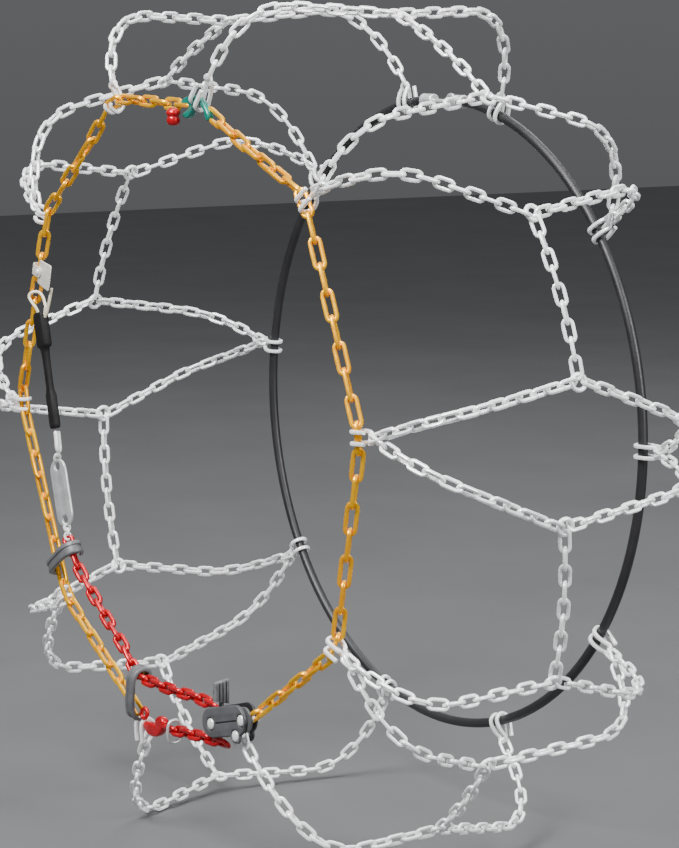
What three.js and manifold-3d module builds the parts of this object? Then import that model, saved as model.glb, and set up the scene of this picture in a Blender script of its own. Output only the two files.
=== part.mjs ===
// Tyre snow chains in their fitted shape, round a wheel that is left out.
// Millimetres. The origin is the wheel's centre, +Y is the wheel's axis towards the
// vehicle, so the outer face is at -Y, and +Z is up.
import * as THREE from 'three';
import { mergeVertices } from 'three/addons/utils/BufferGeometryUtils.js';
import Module from 'manifold-3d';

const wasm = await Module();
wasm.setup();

// Driving dimensions, mm and degrees.
const TREAD_R = 317; // tyre tread radius
const GAP = 0.5; // clearance between neighbouring pieces
const NET_WIDTH = 9; // width of a net chain link
const NET_R = TREAD_R + NET_WIDTH / 2 + GAP; // radius of the net chain's centre line
const SIDE_Y = 121; // distance of both side loops from the wheel's mid plane
const SIDE_CHAIN_R = 4.6; // half width of a side chain link
const TENSION_CHAIN_R = 3.6; // half width of a tension chain link
const TENSION_Y = -122.5; // plane of the tension chain
const CROWN_HALF = 72; // half width of the flat part of the tread
const SHOULDER_Y = 104; // how wide the shoulder curve stays at tread height
const FLANK_Y = 117; // how wide the flank is above the side loop
const FLANK_BULGE = 3; // how far the flank's control point stands above half way up
const HOOK_LENGTH = 16; // side loop to the first link of a cross chain
const HOOK_DEPTH = 5;
const HOOK_WIDTH = 11;
const HOOP_R = 240; // inner hoop radius
const HOOP_WIRE_R = 3.5; // inner hoop cable radius
const HOOP_GAP_DEG = 13; // opening of the inner hoop at its end fittings
const INNER_LAG = 7; // inner junctions turn this far behind the outer ones
const RING_R = 5.6; // centre ring, to the middle of its wire
const RING_WIRE_R = 1.7;
const RING_REACH = RING_R + RING_WIRE_R + 0.9; // where a cross chain stops short of its ring

// Outer junctions: angle from +X towards +Z, radius, and the centre rings each one holds.
const JUNCTIONS = [
  { deg: 79, r: 252, rings: [0] },
  { deg: 45.3, r: 249, rings: [1, 2] },
  { deg: 7.1, r: 239, rings: [3, 4] },
  { deg: -29, r: 239, rings: [5, 6] },
  { deg: -65, r: 228, rings: [7] },
  { deg: -100, r: 226, rings: [8] },
  { deg: -139, r: 213, rings: [9, 10] },
  { deg: 180, r: 226.5, rings: [11, 12] },
  { deg: 140.6, r: 241, rings: [13, 14] },
  { deg: 109, r: 252, rings: [15] },
];

// Centre rings: angle and distance from the mid plane. Each two in turn share a tread chain.
const RINGS = [
  [71, 3], [50.4, 8], [32.7, -3], [11.6, 2], [-5.3, -12], [-26.4, 4], [-39.6, -20], [-56.6, -11],
  [-113, -5], [-136, 6], [-152, -4], [-175, 4], [168, -6], [147, 3], [129, -4], [112, 5],
];

// Routes in the side plane, as [x, z].
const SIDE_RIGHT = [[68, 231], [107, 212], [175, 178], [237, 30], [208, -116], [122, -178]];
const SIDE_LEFT = [
  [15, 240], [-35, 242], [-82, 239], [-186, 153], [-204, 90], [-226, -1], [-160, -140], [-56, -209],
];
const TENSION_UPPER = [[-150, -107], [-137, -117], [-98, -147], [-66, -169]];
const TENSION_MIDDLE = [[-38, -186.5], [0, -186.5], [40, -185], [58, -186]];
const TENSION_LOWER = [[63, -211], [40, -213.5], [-6, -218]];

// Tension lock.
const LOCK = { x: 84.5, z: -193.6, deg: 14.3, y: -116.5 };
const LOCK_DEPTH = 13;
const LOCK_PLATE = 2;
const LOCK_LEFT = { x: -21.3, y: 1.2, r: 10.6 };
const LOCK_RIGHT = { x: 14.5, y: 0.7, r: 10.7 };
const REAR_RIGHT = { x: 13, y: 1.7, r: 10.8 };
const LOCK_LOBE = { x: 10.8, y: -9.7, r: 5.6 };
const ROLLER = { x: -2, y: -0.5, r: 4.6 };
const RIVETS = [[-20.8, 0.3], [20.8, 0.5], [10.6, -10.1]];
const RIVET_R = 2;
const RIVET_PLAY = 0.35;
const RIVET_HEAD = { r: 4, thickness: 1.4, gap: 0.3 };
const RIVET_TAIL = { r: 3.2, thickness: 0.9, gap: 0.3 };
const ROLLER_TEETH = 6;
const ROLLER_TOOTH = 0.9;
const ROLLER_BORE_R = 2.2;
const ROLLER_PIN_R = 1.8;
const ROLLER_WIDTH = 5;
const ROLLER_GAP = 0.8;
const LEVER = { from: 8.4, thickness: 2.2, hubR: 4.6 };
const LEVER_ELBOW = { x: -9, y: 9.4, r: 2.4 };
const LEVER_NECK = { x: -7, y: 17, r: 2 };
const LEVER_TAB = { x: -4.6, y: 22.4, z: 10.8, width: 5.5, height: 16.6, depth: 10 };
const SPRING = { x: 74.4, z: -196, depth: 9.3, length: 6, r: 1.4, innerR: 0.8, groove: 0.35, turns: 5 };

const STEEL_WHITE = { color: 0xe4e6e6, metalness: 0.8, roughness: 0.35 };
const YELLOW = { color: 0xf0a010, metalness: 0.2, roughness: 0.4 };
const RED = { color: 0xcc1420, metalness: 0.1, roughness: 0.35 };
const GREY = { color: 0x55565a, metalness: 0.0, roughness: 0.5 };
const BLACK = { color: 0x18181a, metalness: 0.0, roughness: 0.7 };
const GREEN = { color: 0x0c8a7a, metalness: 0.1, roughness: 0.4 };
const CREAM = { color: 0xe8e2d0, metalness: 0.1, roughness: 0.5 };

const model = new THREE.Group();

// Solids.

function solidOf(geometry) {
  const bare = geometry.clone();
  bare.deleteAttribute('normal');
  bare.deleteAttribute('uv');
  const merged = mergeVertices(bare, 1e-4);
  const vertProperties = new Float32Array(merged.attributes.position.array);
  const triVerts = new Uint32Array(merged.index.array);
  return new wasm.Manifold(new wasm.Mesh({ numProp: 3, vertProperties, triVerts }));
}

function geometryOf(solid) {
  const mesh = solid.getMesh();
  const geometry = new THREE.BufferGeometry();
  geometry.setAttribute('position', new THREE.BufferAttribute(mesh.vertProperties, 3));
  geometry.setIndex(new THREE.BufferAttribute(mesh.triVerts, 1));
  geometry.computeVertexNormals();
  return geometry;
}

function joined(first, ...others) {
  return geometryOf(others.reduce((sum, geometry) => sum.add(solidOf(geometry)), solidOf(first)));
}

function cut(first, ...tools) {
  return geometryOf(tools.reduce((rest, tool) => rest.subtract(solidOf(tool)), solidOf(first)));
}

function polygon(radius, sides) {
  const corners = [];
  for (let i = 0; i < sides; i += 1) {
    const angle = (2 * Math.PI * (i + 0.5)) / sides;
    corners.push(new THREE.Vector2(radius * Math.cos(angle), radius * Math.sin(angle)));
  }
  return new THREE.Shape(corners);
}

function rectangle(width, height) {
  const corners = [[-1, -1], [1, -1], [1, 1], [-1, 1]];
  return new THREE.Shape(corners.map(([x, y]) => new THREE.Vector2((x * width) / 2, (y * height) / 2)));
}

function sweep(section, points, steps, closed = false) {
  const extrudePath = new THREE.CatmullRomCurve3(points, closed, 'centripetal');
  return new THREE.ExtrudeGeometry(section, { steps, extrudePath, bevelEnabled: false });
}

// A taut chain's route: one straight prism per stretch, each a little longer than its
// stretch at the corners, so that it runs into the next one.
function tautChain(points, radius) {
  const last = points.length - 1;
  const prisms = points.slice(1).map((end, i) => {
    const start = points[i];
    const reach = end.clone().sub(start).setLength(radius / 2);
    const from = i === 0 ? start : start.clone().sub(reach);
    const to = i + 1 === last ? end : end.clone().add(reach);
    const extrudePath = new THREE.LineCurve3(from, to);
    return new THREE.ExtrudeGeometry(polygon(radius, 6), { steps: 1, extrudePath, bevelEnabled: false });
  });
  return joined(...prisms);
}

// A flat piece: an outline in its own x-y plane, with its back at depth `from`.
function plate(outline, from, thickness, curveSegments = 5) {
  const solid = new THREE.ExtrudeGeometry(outline, { depth: thickness, bevelEnabled: false, curveSegments });
  return solid.translate(0, 0, from);
}

function disc(x, y, radius, from, thickness, sides = 12) {
  return plate(polygon(radius, sides), from, thickness).translate(x, y, 0);
}

// Placing.

function add(name, geometry, look) {
  const mesh = new THREE.Mesh(geometry, new THREE.MeshStandardMaterial(look));
  mesh.name = name;
  model.add(mesh);
  return mesh;
}

// Stands a flat piece in the side plane: its own x at `deg` from +X towards +Z, its depth outwards.
function stand(mesh, x, y, z, deg) {
  const angle = THREE.MathUtils.degToRad(deg);
  const along = new THREE.Vector3(Math.cos(angle), 0, Math.sin(angle));
  const across = new THREE.Vector3(-Math.sin(angle), 0, Math.cos(angle));
  const outwards = new THREE.Vector3(0, -1, 0);
  mesh.quaternion.setFromRotationMatrix(new THREE.Matrix4().makeBasis(along, across, outwards));
  mesh.position.set(x, y, z);
  return mesh;
}

function aroundWheel(deg, radius, y) {
  const angle = THREE.MathUtils.degToRad(deg);
  return new THREE.Vector3(radius * Math.cos(angle), y, radius * Math.sin(angle));
}

function nearAngle(deg, reference) {
  return deg + 360 * Math.round((reference - deg) / 360);
}

function inSidePlane(route, y) {
  return route.map(([x, z]) => new THREE.Vector3(x, y, z));
}

// Side chains and tension chain.

add('side_chain_right', tautChain(inSidePlane(SIDE_RIGHT, -SIDE_Y), SIDE_CHAIN_R), YELLOW);
add('side_chain_left', tautChain(inSidePlane(SIDE_LEFT, -SIDE_Y), SIDE_CHAIN_R), YELLOW);
add('tension_chain_upper', tautChain(inSidePlane(TENSION_UPPER, TENSION_Y), TENSION_CHAIN_R), RED);
add('tension_chain_middle', tautChain(inSidePlane(TENSION_MIDDLE, TENSION_Y), TENSION_CHAIN_R), RED);
add('tension_chain_lower', tautChain(inSidePlane(TENSION_LOWER, TENSION_Y), TENSION_CHAIN_R), RED);

// Inner hoop: a bent cable with a hook end and an eye end near the top.

function hoopHalf(startDeg, endDeg) {
  const spans = 12;
  const step = (endDeg - startDeg) / spans;
  const points = Array.from({ length: spans + 1 }, (_, i) => aroundWheel(startDeg + step * i, HOOP_R, SIDE_Y));
  return sweep(polygon(HOOP_WIRE_R, 6), points, 18);
}

const FERRULE = { radius: HOOP_WIRE_R + 1.5, hookLength: 14, eyeLength: 12 };
const HOOP_HOOK_WIRE_R = 1.6;
const HOOP_EYE = { radius: 4.8, wire: 1.4, reach: 17 };

function ferrule(length) {
  return disc(0, 0, FERRULE.radius, 0, length, 8).rotateY(Math.PI / 2);
}

function hoopHookEnd() {
  const wire = [[13, 0], [22, 3.8], [30, 5.4], [35.5, 3.4], [36, -2.6], [31, -5.8]];
  const hook = sweep(polygon(HOOP_HOOK_WIRE_R, 6), wire.map(([x, z]) => new THREE.Vector3(x, 0, z)), 8);
  return joined(ferrule(FERRULE.hookLength), hook);
}

function hoopEyeEnd() {
  const eye = new THREE.TorusGeometry(HOOP_EYE.radius, HOOP_EYE.wire, 6, 12);
  return joined(ferrule(FERRULE.eyeLength), eye.translate(HOOP_EYE.reach, 0, 0));
}

// The one cable is two nodes, with half a millimetre between them at the bottom.
const HOOP_JOIN_DEG = 0.1;
add('inner_hoop_left', hoopHalf(90 + HOOP_GAP_DEG / 2, 270 - HOOP_JOIN_DEG), BLACK);
add('inner_hoop_right', hoopHalf(270 + HOOP_JOIN_DEG, 450 - HOOP_GAP_DEG / 2), BLACK);
const hoopLeft = aroundWheel(90 + HOOP_GAP_DEG / 2, HOOP_R, SIDE_Y);
const hoopRight = aroundWheel(90 - HOOP_GAP_DEG / 2, HOOP_R, SIDE_Y);
stand(add('hoop_hook_end', hoopHookEnd(), STEEL_WHITE), hoopLeft.x + 2 * GAP, SIDE_Y, hoopLeft.z, 0);
stand(add('hoop_eye_end', hoopEyeEnd(), STEEL_WHITE), hoopRight.x - 2 * GAP, SIDE_Y, hoopRight.z, 180);

// Net: cross chains from each junction to its rings, and tread chains from ring to ring.

// The wheel's section from the junction's hook to the crown, as [distance from mid plane, radius].
function shoulderCurve(hookRadius) {
  const flankR = (hookRadius + NET_R) / 2 + FLANK_BULGE;
  return new THREE.CubicBezierCurve(
    new THREE.Vector2(SIDE_Y, hookRadius),
    new THREE.Vector2(FLANK_Y, flankR),
    new THREE.Vector2(SHOULDER_Y, NET_R),
    new THREE.Vector2(CROWN_HALF, NET_R),
  );
}

// A cross chain lies on the shortest way over the tyre, so its angle turns as 1 / radius squared.
function crossPoints(junctionDeg, junctionR, ringIndex, side) {
  const [ringDegrees, ringY] = RINGS[ringIndex];
  const section = shoulderCurve(junctionR + HOOK_LENGTH).getPoints(6);
  const endY = side * ringY + RING_REACH;
  section.push(new THREE.Vector2((CROWN_HALF + endY) / 2, NET_R));
  section.push(new THREE.Vector2(endY, NET_R));
  const turns = [0];
  for (let i = 1; i < section.length; i += 1) {
    const length = section[i].distanceTo(section[i - 1]);
    const radius = (section[i].y + section[i - 1].y) / 2;
    turns.push(turns[i - 1] + length / (radius * radius));
  }
  const ringDeg = nearAngle(ringDegrees, junctionDeg);
  const share = (ringDeg - junctionDeg) / turns[turns.length - 1];
  return section.map((p, i) => aroundWheel(junctionDeg + share * turns[i], p.y, side * p.x));
}

function crossChain(deg, radius, rings, side) {
  const start = SIDE_CHAIN_R + 3 * GAP;
  const hook = new THREE.BoxGeometry(HOOK_LENGTH - start, HOOK_DEPTH, HOOK_WIDTH);
  hook.translate(radius + (HOOK_LENGTH + start) / 2, side * SIDE_Y, 0);
  hook.rotateY(-THREE.MathUtils.degToRad(deg));
  const section = polygon(NET_WIDTH / 2, 5);
  const runs = rings.map((ring) => sweep(section, crossPoints(deg, radius, ring, side), 10));
  return joined(hook, ...runs);
}

// A tread chain starts and ends this share of its way inside its two rings.
const TREAD_INSET = 0.02;

function treadChain(first, second) {
  const [startDeg, startY] = RINGS[first];
  const [endDegrees, endY] = RINGS[second];
  const endDeg = nearAngle(endDegrees, startDeg);
  const points = [0, 0.25, 0.5, 0.75, 1].map((part) => {
    const y = startY + (endY - startY) * part;
    const inset = TREAD_INSET + (1 - 2 * TREAD_INSET) * part;
    return aroundWheel(startDeg + (endDeg - startDeg) * inset, NET_R, y);
  });
  const rings = [[startDeg, startY], [endDeg, endY]].map(([deg, y]) => {
    const ring = new THREE.TorusGeometry(RING_R, RING_WIRE_R, 4, 8).rotateY(Math.PI / 2);
    return ring.translate(NET_R, y, 0).rotateY(-THREE.MathUtils.degToRad(deg));
  });
  return joined(sweep(polygon(NET_WIDTH / 2, 5), points, 4), ...rings);
}

JUNCTIONS.forEach(({ deg, r, rings }, i) => {
  add(`outer_cross_chain_${i + 1}`, crossChain(deg, r, rings, -1), STEEL_WHITE);
  add(`inner_cross_chain_${i + 1}`, crossChain(deg - INNER_LAG, HOOP_R, rings, 1), STEEL_WHITE);
});

for (let i = 0; i < RINGS.length; i += 2) {
  add(`tread_chain_${i / 2 + 1}`, treadChain(i, i + 1), STEEL_WHITE);
}

// Closing hook and the red stud beside it.

const CLOSING = { x: 39, z: 240, deg: 0, y: -119.5, thickness: 5 };
const STUD = { x: 22.2, y: -131.4, z: 232.8 };

// An arm that the right side chain holds, and two jaws that take the left one's last link.
function closingHook() {
  const outline = new THREE.Shape();
  outline.moveTo(-19.6, 1);
  outline.quadraticCurveTo(-18, 5.5, -10, 7);
  outline.quadraticCurveTo(-1, 9.5, 6, 6);
  outline.quadraticCurveTo(15, 1, 18.2, -5);
  outline.quadraticCurveTo(19.5, -9.5, 16.3, -9.6);
  outline.quadraticCurveTo(13.2, -9, 12.4, -4.5);
  outline.quadraticCurveTo(10.5, 0.5, 5.5, 1);
  outline.quadraticCurveTo(0.5, 1, -3.5, -2.5);
  outline.quadraticCurveTo(-7, -8.5, -12, -8.8);
  outline.quadraticCurveTo(-17.5, -8.6, -16.6, -5.2);
  outline.quadraticCurveTo(-13, -3.6, -10.5, -2.6);
  outline.quadraticCurveTo(-7.6, -0.6, -9.8, 1.2);
  outline.quadraticCurveTo(-12, 2.4, -14.5, 0.2);
  outline.quadraticCurveTo(-16.5, -2.6, -19.6, 1);
  return plate(outline, 0, CLOSING.thickness, 3);
}

stand(add('closing_hook', closingHook(), GREEN), CLOSING.x, CLOSING.y, CLOSING.z, CLOSING.deg);

function studProfile() {
  const lower = [[0, -6.5], [3.2, -6.1], [4.7, -3.8], [4.6, -1.2]];
  const upper = [[4.1, 0.2], [4.9, 1.4], [5, 3.2], [3.2, 5.6], [0, 6.4]];
  const points = [...lower, ...upper];
  return points.map(([r, h]) => new THREE.Vector2(r, h));
}

const stud = add('red_stud', new THREE.LatheGeometry(studProfile(), 10).rotateX(Math.PI / 2), RED);
stud.position.set(STUD.x, STUD.y, STUD.z);

// Tension lock: two covers on three rivets, a toothed roller that turns on its pin, and the
// release lever that turns about the right rivet.

const HULL_SIDES = 18;

function circleHull(circles) {
  const points = [];
  circles.forEach(({ x, y, r }) => {
    for (let i = 0; i < HULL_SIDES; i += 1) {
      const angle = (2 * Math.PI * i) / HULL_SIDES;
      points.push([x + r * Math.cos(angle), y + r * Math.sin(angle)]);
    }
  });
  points.sort((a, b) => a[0] - b[0] || a[1] - b[1]);
  const turn = (o, a, b) => (a[0] - o[0]) * (b[1] - o[1]) - (a[1] - o[1]) * (b[0] - o[0]);
  const half = (list) => {
    const chain = [];
    list.forEach((p) => {
      while (chain.length > 1 && turn(chain[chain.length - 2], chain[chain.length - 1], p) <= 1e-3) {
        chain.pop();
      }
      chain.push(p);
    });
    chain.pop();
    return chain;
  };
  const corners = [...half(points), ...half([...points].reverse())];
  return new THREE.Shape(corners.map(([x, y]) => new THREE.Vector2(x, y)));
}

function rivetHoles() {
  return RIVETS.map(([x, y]) => disc(x, y, RIVET_R + RIVET_PLAY, -1, LOCK_DEPTH + 2, 10));
}

// A cover is a long plate with a round lobe below it for the third rivet.
function lockCover(right, from) {
  const face = plate(circleHull([LOCK_LEFT, right]), from, LOCK_PLATE);
  const lobe = disc(LOCK_LOBE.x, LOCK_LOBE.y, LOCK_LOBE.r, from, LOCK_PLATE, HULL_SIDES);
  return cut(joined(face, lobe), ...rivetHoles());
}

function rivet(x, y) {
  const shank = disc(x, y, RIVET_R, -1, LOCK_DEPTH + 2, 10);
  const head = disc(x, y, RIVET_HEAD.r, LOCK_DEPTH + RIVET_HEAD.gap, RIVET_HEAD.thickness, 12);
  const tailFrom = -RIVET_TAIL.gap - RIVET_TAIL.thickness;
  const tail = disc(x, y, RIVET_TAIL.r, tailFrom, RIVET_TAIL.thickness, 10);
  return joined(shank, head, tail);
}

function toothedRoller() {
  const corners = ROLLER_TEETH * 4;
  const outline = new THREE.Shape();
  for (let i = 0; i < corners; i += 1) {
    const angle = (2 * Math.PI * i) / corners;
    const radius = i % 4 < 2 ? ROLLER.r : ROLLER.r - ROLLER_TOOTH;
    const corner = [radius * Math.cos(angle), radius * Math.sin(angle)];
    if (i === 0) {
      outline.moveTo(...corner);
    } else {
      outline.lineTo(...corner);
    }
  }
  const body = plate(outline, LOCK_PLATE + ROLLER_GAP, ROLLER_WIDTH);
  return cut(body, disc(0, 0, ROLLER_BORE_R, 0, LOCK_DEPTH, 12)).translate(ROLLER.x, ROLLER.y, 0);
}

// The lever lies just under the front cover, and its thumb tab stands above the lock.
function releaseTab() {
  const { from, thickness } = LEVER;
  const pivot = { x: RIVETS[1][0], y: RIVETS[1][1] };
  const arm = plate(circleHull([{ ...pivot, r: LEVER.hubR }, LEVER_ELBOW]), from, thickness);
  const stem = plate(circleHull([LEVER_ELBOW, LEVER_NECK]), from, thickness);
  const tab = new THREE.BoxGeometry(LEVER_TAB.width, LEVER_TAB.height, LEVER_TAB.depth);
  tab.rotateZ(THREE.MathUtils.degToRad(-LOCK.deg));
  tab.translate(LEVER_TAB.x, LEVER_TAB.y, LEVER_TAB.z);
  const bore = disc(pivot.x, pivot.y, RIVET_R + RIVET_PLAY, from - 1, thickness + 2, 12);
  return cut(joined(arm, stem, tab), bore);
}

function springProfile() {
  const steps = SPRING.turns * 2;
  const points = [[SPRING.innerR, 0]];
  for (let i = 0; i <= steps; i += 1) {
    points.push([i % 2 ? SPRING.r : SPRING.r - SPRING.groove, (SPRING.length * i) / steps]);
  }
  points.push([SPRING.innerR, SPRING.length], [SPRING.innerR, 0]);
  return points.map(([r, h]) => new THREE.Vector2(r, h));
}

const onLock = (mesh) => stand(mesh, LOCK.x, LOCK.y, LOCK.z, LOCK.deg);
onLock(add('lock_front_cover', lockCover(LOCK_RIGHT, LOCK_DEPTH - LOCK_PLATE), GREY));
onLock(add('lock_rear_cover', lockCover(REAR_RIGHT, 0), BLACK));
RIVETS.forEach(([x, y], i) => onLock(add(`lock_rivet_${i + 1}`, rivet(x, y), STEEL_WHITE)));
onLock(add('lock_roller', toothedRoller(), STEEL_WHITE));
const pinFrom = LOCK_PLATE + RIVET_HEAD.gap;
const pinLength = LOCK_DEPTH - 2 * pinFrom;
onLock(add('lock_roller_pin', disc(ROLLER.x, ROLLER.y, ROLLER_PIN_R, pinFrom, pinLength), STEEL_WHITE));
onLock(add('release_tab', releaseTab(), GREY));
const springBody = new THREE.LatheGeometry(springProfile(), 8).rotateX(Math.PI / 2);
add('release_spring', springBody, STEEL_WHITE).position.set(SPRING.x, LOCK.y - SPRING.depth, SPRING.z);

// Guide hooks: a strap clipped round the side chain at one end, with a crook at the other end
// that holds the tension chain.

const GUIDE_WIDTH = 10;
const GUIDE_THICKNESS = 2.4;

function guideHook() {
  const clip = [[-6.4, -4.8], [-8, 0], [-5.4, 6.8], [3.6, 9.2]];
  const crook = [[13, 9.2], [23, 9], [28.6, 6.5], [30.8, 1.8], [28.8, -3.2], [23, -4.6]];
  const points = [...clip, ...crook].map(([x, z]) => new THREE.Vector3(x, 0, z));
  return sweep(rectangle(GUIDE_WIDTH, GUIDE_THICKNESS), points, 16);
}

const GUIDES = [
  { name: 'guide_hook_upper', x: -170, z: -119.5, deg: 34 },
  { name: 'guide_hook_lower', x: -50.5, z: -210, deg: 84 },
];
GUIDES.forEach(({ name, x, z, deg }) => stand(add(name, guideHook(), GREY), x, -SIDE_Y, z, deg));

// Tension plate, its end links, the rubber strap and its wire hook.

const PLATE = { x: -164, z: -62.4, deg: -73.5, length: 53, width: 20.5, thickness: 2, hole: 3.8, holeAt: 21 };

function tensionPlate() {
  const end = PLATE.length / 2 - PLATE.width / 2;
  const ends = [{ x: -end, y: 0, r: PLATE.width / 2 }, { x: end, y: 0, r: PLATE.width / 2 }];
  const body = plate(circleHull(ends), -PLATE.thickness / 2, PLATE.thickness);
  const holes = [-1, 1].map((way) => disc(way * PLATE.holeAt, 0, PLATE.hole, -3, 6, 12));
  return cut(body, ...holes);
}

stand(add('tension_plate', tensionPlate(), STEEL_WHITE), PLATE.x, TENSION_Y, PLATE.z, PLATE.deg);

// A U of wire that goes through one of the plate's holes.
function shackle({ length, halfWidth, wire }) {
  const bend = length - halfWidth;
  const points = [[0, -halfWidth], [bend, -halfWidth], [length, 0], [bend, halfWidth], [0, halfWidth]];
  return sweep(polygon(wire, 6), points.map(([x, y]) => new THREE.Vector3(x, y, 0)), 8);
}

const UPPER_SHACKLE = { x: -170.5, z: -16.5, deg: -80, length: 15, halfWidth: 3.6, wire: 1.5 };
const LOWER_SHACKLE = { x: -153, z: -102, deg: 107, length: 12, halfWidth: 2.6, wire: 1.3 };
function addShackle(name, place) {
  stand(add(name, shackle(place), STEEL_WHITE), place.x, TENSION_Y, place.z, place.deg);
}

addShackle('plate_link_upper', UPPER_SHACKLE);
addShackle('plate_link_lower', LOWER_SHACKLE);

const STRAP_TOP = { x: -193.2, z: 75 };
const STRAP_FOOT = { x: -171, z: -13 };
const STRAP_Y = TENSION_Y - 1;
const STRAP_THICKNESS = 7.4;
const STRAP_HOOK_WIRE_R = 1.4;
const STRAP_HOOK_RISE = 3; // how far the wire hook starts above the strap

function rubberStrap() {
  const span = Math.hypot(STRAP_FOOT.x - STRAP_TOP.x, STRAP_FOOT.z - STRAP_TOP.z);
  const half = [[0, 6.2], [26, 6.2], [32, 3.6], [span - 34, 3.4], [span - 28, 5], [span, 5]];
  const outline = [...half, ...half.map(([x, y]) => [x, -y]).reverse()];
  const shape = new THREE.Shape(outline.map(([x, y]) => new THREE.Vector2(x, y)));
  return plate(shape, -STRAP_THICKNESS / 2, STRAP_THICKNESS);
}

const strapAngle = Math.atan2(STRAP_FOOT.z - STRAP_TOP.z, STRAP_FOOT.x - STRAP_TOP.x);
const strapDeg = THREE.MathUtils.radToDeg(strapAngle);
stand(add('rubber_strap', rubberStrap(), BLACK), STRAP_TOP.x, STRAP_Y, STRAP_TOP.z, strapDeg);

// The hook's wire as [x, z, y]: up the left, across the front of the side chain, down the right.
function strapHook() {
  const left = [[-5, 0, 0], [-6, 5, -5], [-9, 11, -6.5], [-5, 15.5, -6.5]];
  const right = [[5, 15.5, -6.5], [9, 11, -6], [5, 5, -3], [4, 0, 0]];
  const points = [...left, ...right].map(([x, z, y]) => new THREE.Vector3(x, y, z));
  return sweep(polygon(STRAP_HOOK_WIRE_R, 6), points, 18);
}

const strapHookMesh = add('strap_hook', strapHook(), CREAM);
strapHookMesh.position.set(STRAP_TOP.x, STRAP_Y, STRAP_TOP.z + STRAP_HOOK_RISE);

// Size tag: a folded strip round the side chain, closed by a rivet.

const TAG = { x: -198.6, z: 109, lean: 14, width: 17, thickness: 1, rivetAt: 9.5 };
const TAG_BEND = SIDE_CHAIN_R + 2.2;
const TAG_RIVET = { r: 1.2, hole: 1.6, headR: 3, head: 0.8, reach: SIDE_CHAIN_R + 3.8 };

function sizeTag() {
  const front = [[25, -TAG_BEND], [12, -TAG_BEND], [1, -TAG_BEND]];
  const back = [[-TAG_BEND, 0], [1, TAG_BEND], [16, TAG_BEND]];
  const points = [...front, ...back].map(([x, y]) => new THREE.Vector3(x, y, 0));
  const strip = sweep(rectangle(TAG.width, TAG.thickness), points, 12);
  const hole = new THREE.CylinderGeometry(TAG_RIVET.hole, TAG_RIVET.hole, 30, 8);
  return cut(strip, hole.translate(TAG.rivetAt, 0, 0));
}

function tagRivet() {
  const { r, headR, head, reach } = TAG_RIVET;
  const shank = new THREE.CylinderGeometry(r, r, 2 * reach + head, 8);
  const heads = [-1, 1].map((way) => {
    const disk = new THREE.CylinderGeometry(headR, headR, head, 10);
    return disk.translate(0, way * (reach + head / 2), 0);
  });
  return joined(shank, ...heads).translate(TAG.rivetAt, 0, 0);
}

const onTag = (mesh) => {
  mesh.position.set(TAG.x, -SIDE_Y, TAG.z);
  mesh.rotation.y = THREE.MathUtils.degToRad(TAG.lean);
};
onTag(add('size_tag', sizeTag(), CREAM));
onTag(add('tag_rivet', tagRivet(), STEEL_WHITE));

// Keeper ring round the lower tension chain, and the red hook plate with its link.

const KEEPER = { x: 2, z: -217, halfWidth: 5.6, halfHeight: 8.5, wire: 1.1 };
const RED_PLATE = { x: -25.5, y: TENSION_Y + 3, z: -218.5, deg: 0, thickness: 6 };
const RED_LINK = { x: -39.5, y: TENSION_Y - 5.2, z: -211.5, r: 4.4, wire: 1.6 };

function keeperRing() {
  const { halfWidth, halfHeight, wire } = KEEPER;
  const shoulder = [0.75 * halfWidth, 0.82 * halfHeight];
  const flank = [halfWidth, 0.35 * halfHeight];
  const quarter = [[0, halfHeight], shoulder, flank];
  const right = [...quarter, [flank[0], -flank[1]], [shoulder[0], -shoulder[1]]];
  const corners = [...right, ...right.map(([y, z]) => [-y, -z])];
  return sweep(polygon(wire, 6), corners.map(([y, z]) => new THREE.Vector3(0, y, z)), 16, true);
}

add('keeper_ring', keeperRing(), STEEL_WHITE).position.set(KEEPER.x, TENSION_Y, KEEPER.z);

function hookPlateOutline() {
  const outline = new THREE.Shape();
  outline.moveTo(-17.5, -2);
  outline.quadraticCurveTo(-17, 1.5, -12, 1.3);
  outline.quadraticCurveTo(-4, 1.5, 5.5, 1.1);
  outline.quadraticCurveTo(0, 5, 4, 8);
  outline.quadraticCurveTo(9, 11, 14, 9.2);
  outline.quadraticCurveTo(19.5, 6.5, 16.9, 2.5);
  outline.quadraticCurveTo(14.5, -2, 10.5, -5);
  outline.quadraticCurveTo(4, -9.5, -4, -9);
  outline.quadraticCurveTo(-13, -8.5, -17.5, -2);
  return outline;
}

const redPlate = add('red_hook_plate', plate(hookPlateOutline(), 0, RED_PLATE.thickness, 4), RED);
stand(redPlate, RED_PLATE.x, RED_PLATE.y, RED_PLATE.z, RED_PLATE.deg);
const redLink = add('red_link', new THREE.TorusGeometry(RED_LINK.r, RED_LINK.wire, 6, 12), RED);
stand(redLink, RED_LINK.x, RED_LINK.y, RED_LINK.z, 0);

export default model;
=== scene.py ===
"""Tyre snow chains in their fitted shape: real links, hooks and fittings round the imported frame.

Lengths are in millimetres and angles in degrees until a mesh is made, which is in metres.
The origin is the wheel's centre, +Y is its axis towards the vehicle, and +Z is up.
"""

import random
from math import atan2, copysign, cos, degrees, hypot, pi, radians, sin, sqrt

import bmesh
import bpy
import numpy as np
from mathutils import Matrix, Vector
from mathutils.geometry import tessellate_polygon
from numpy.linalg import norm


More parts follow.
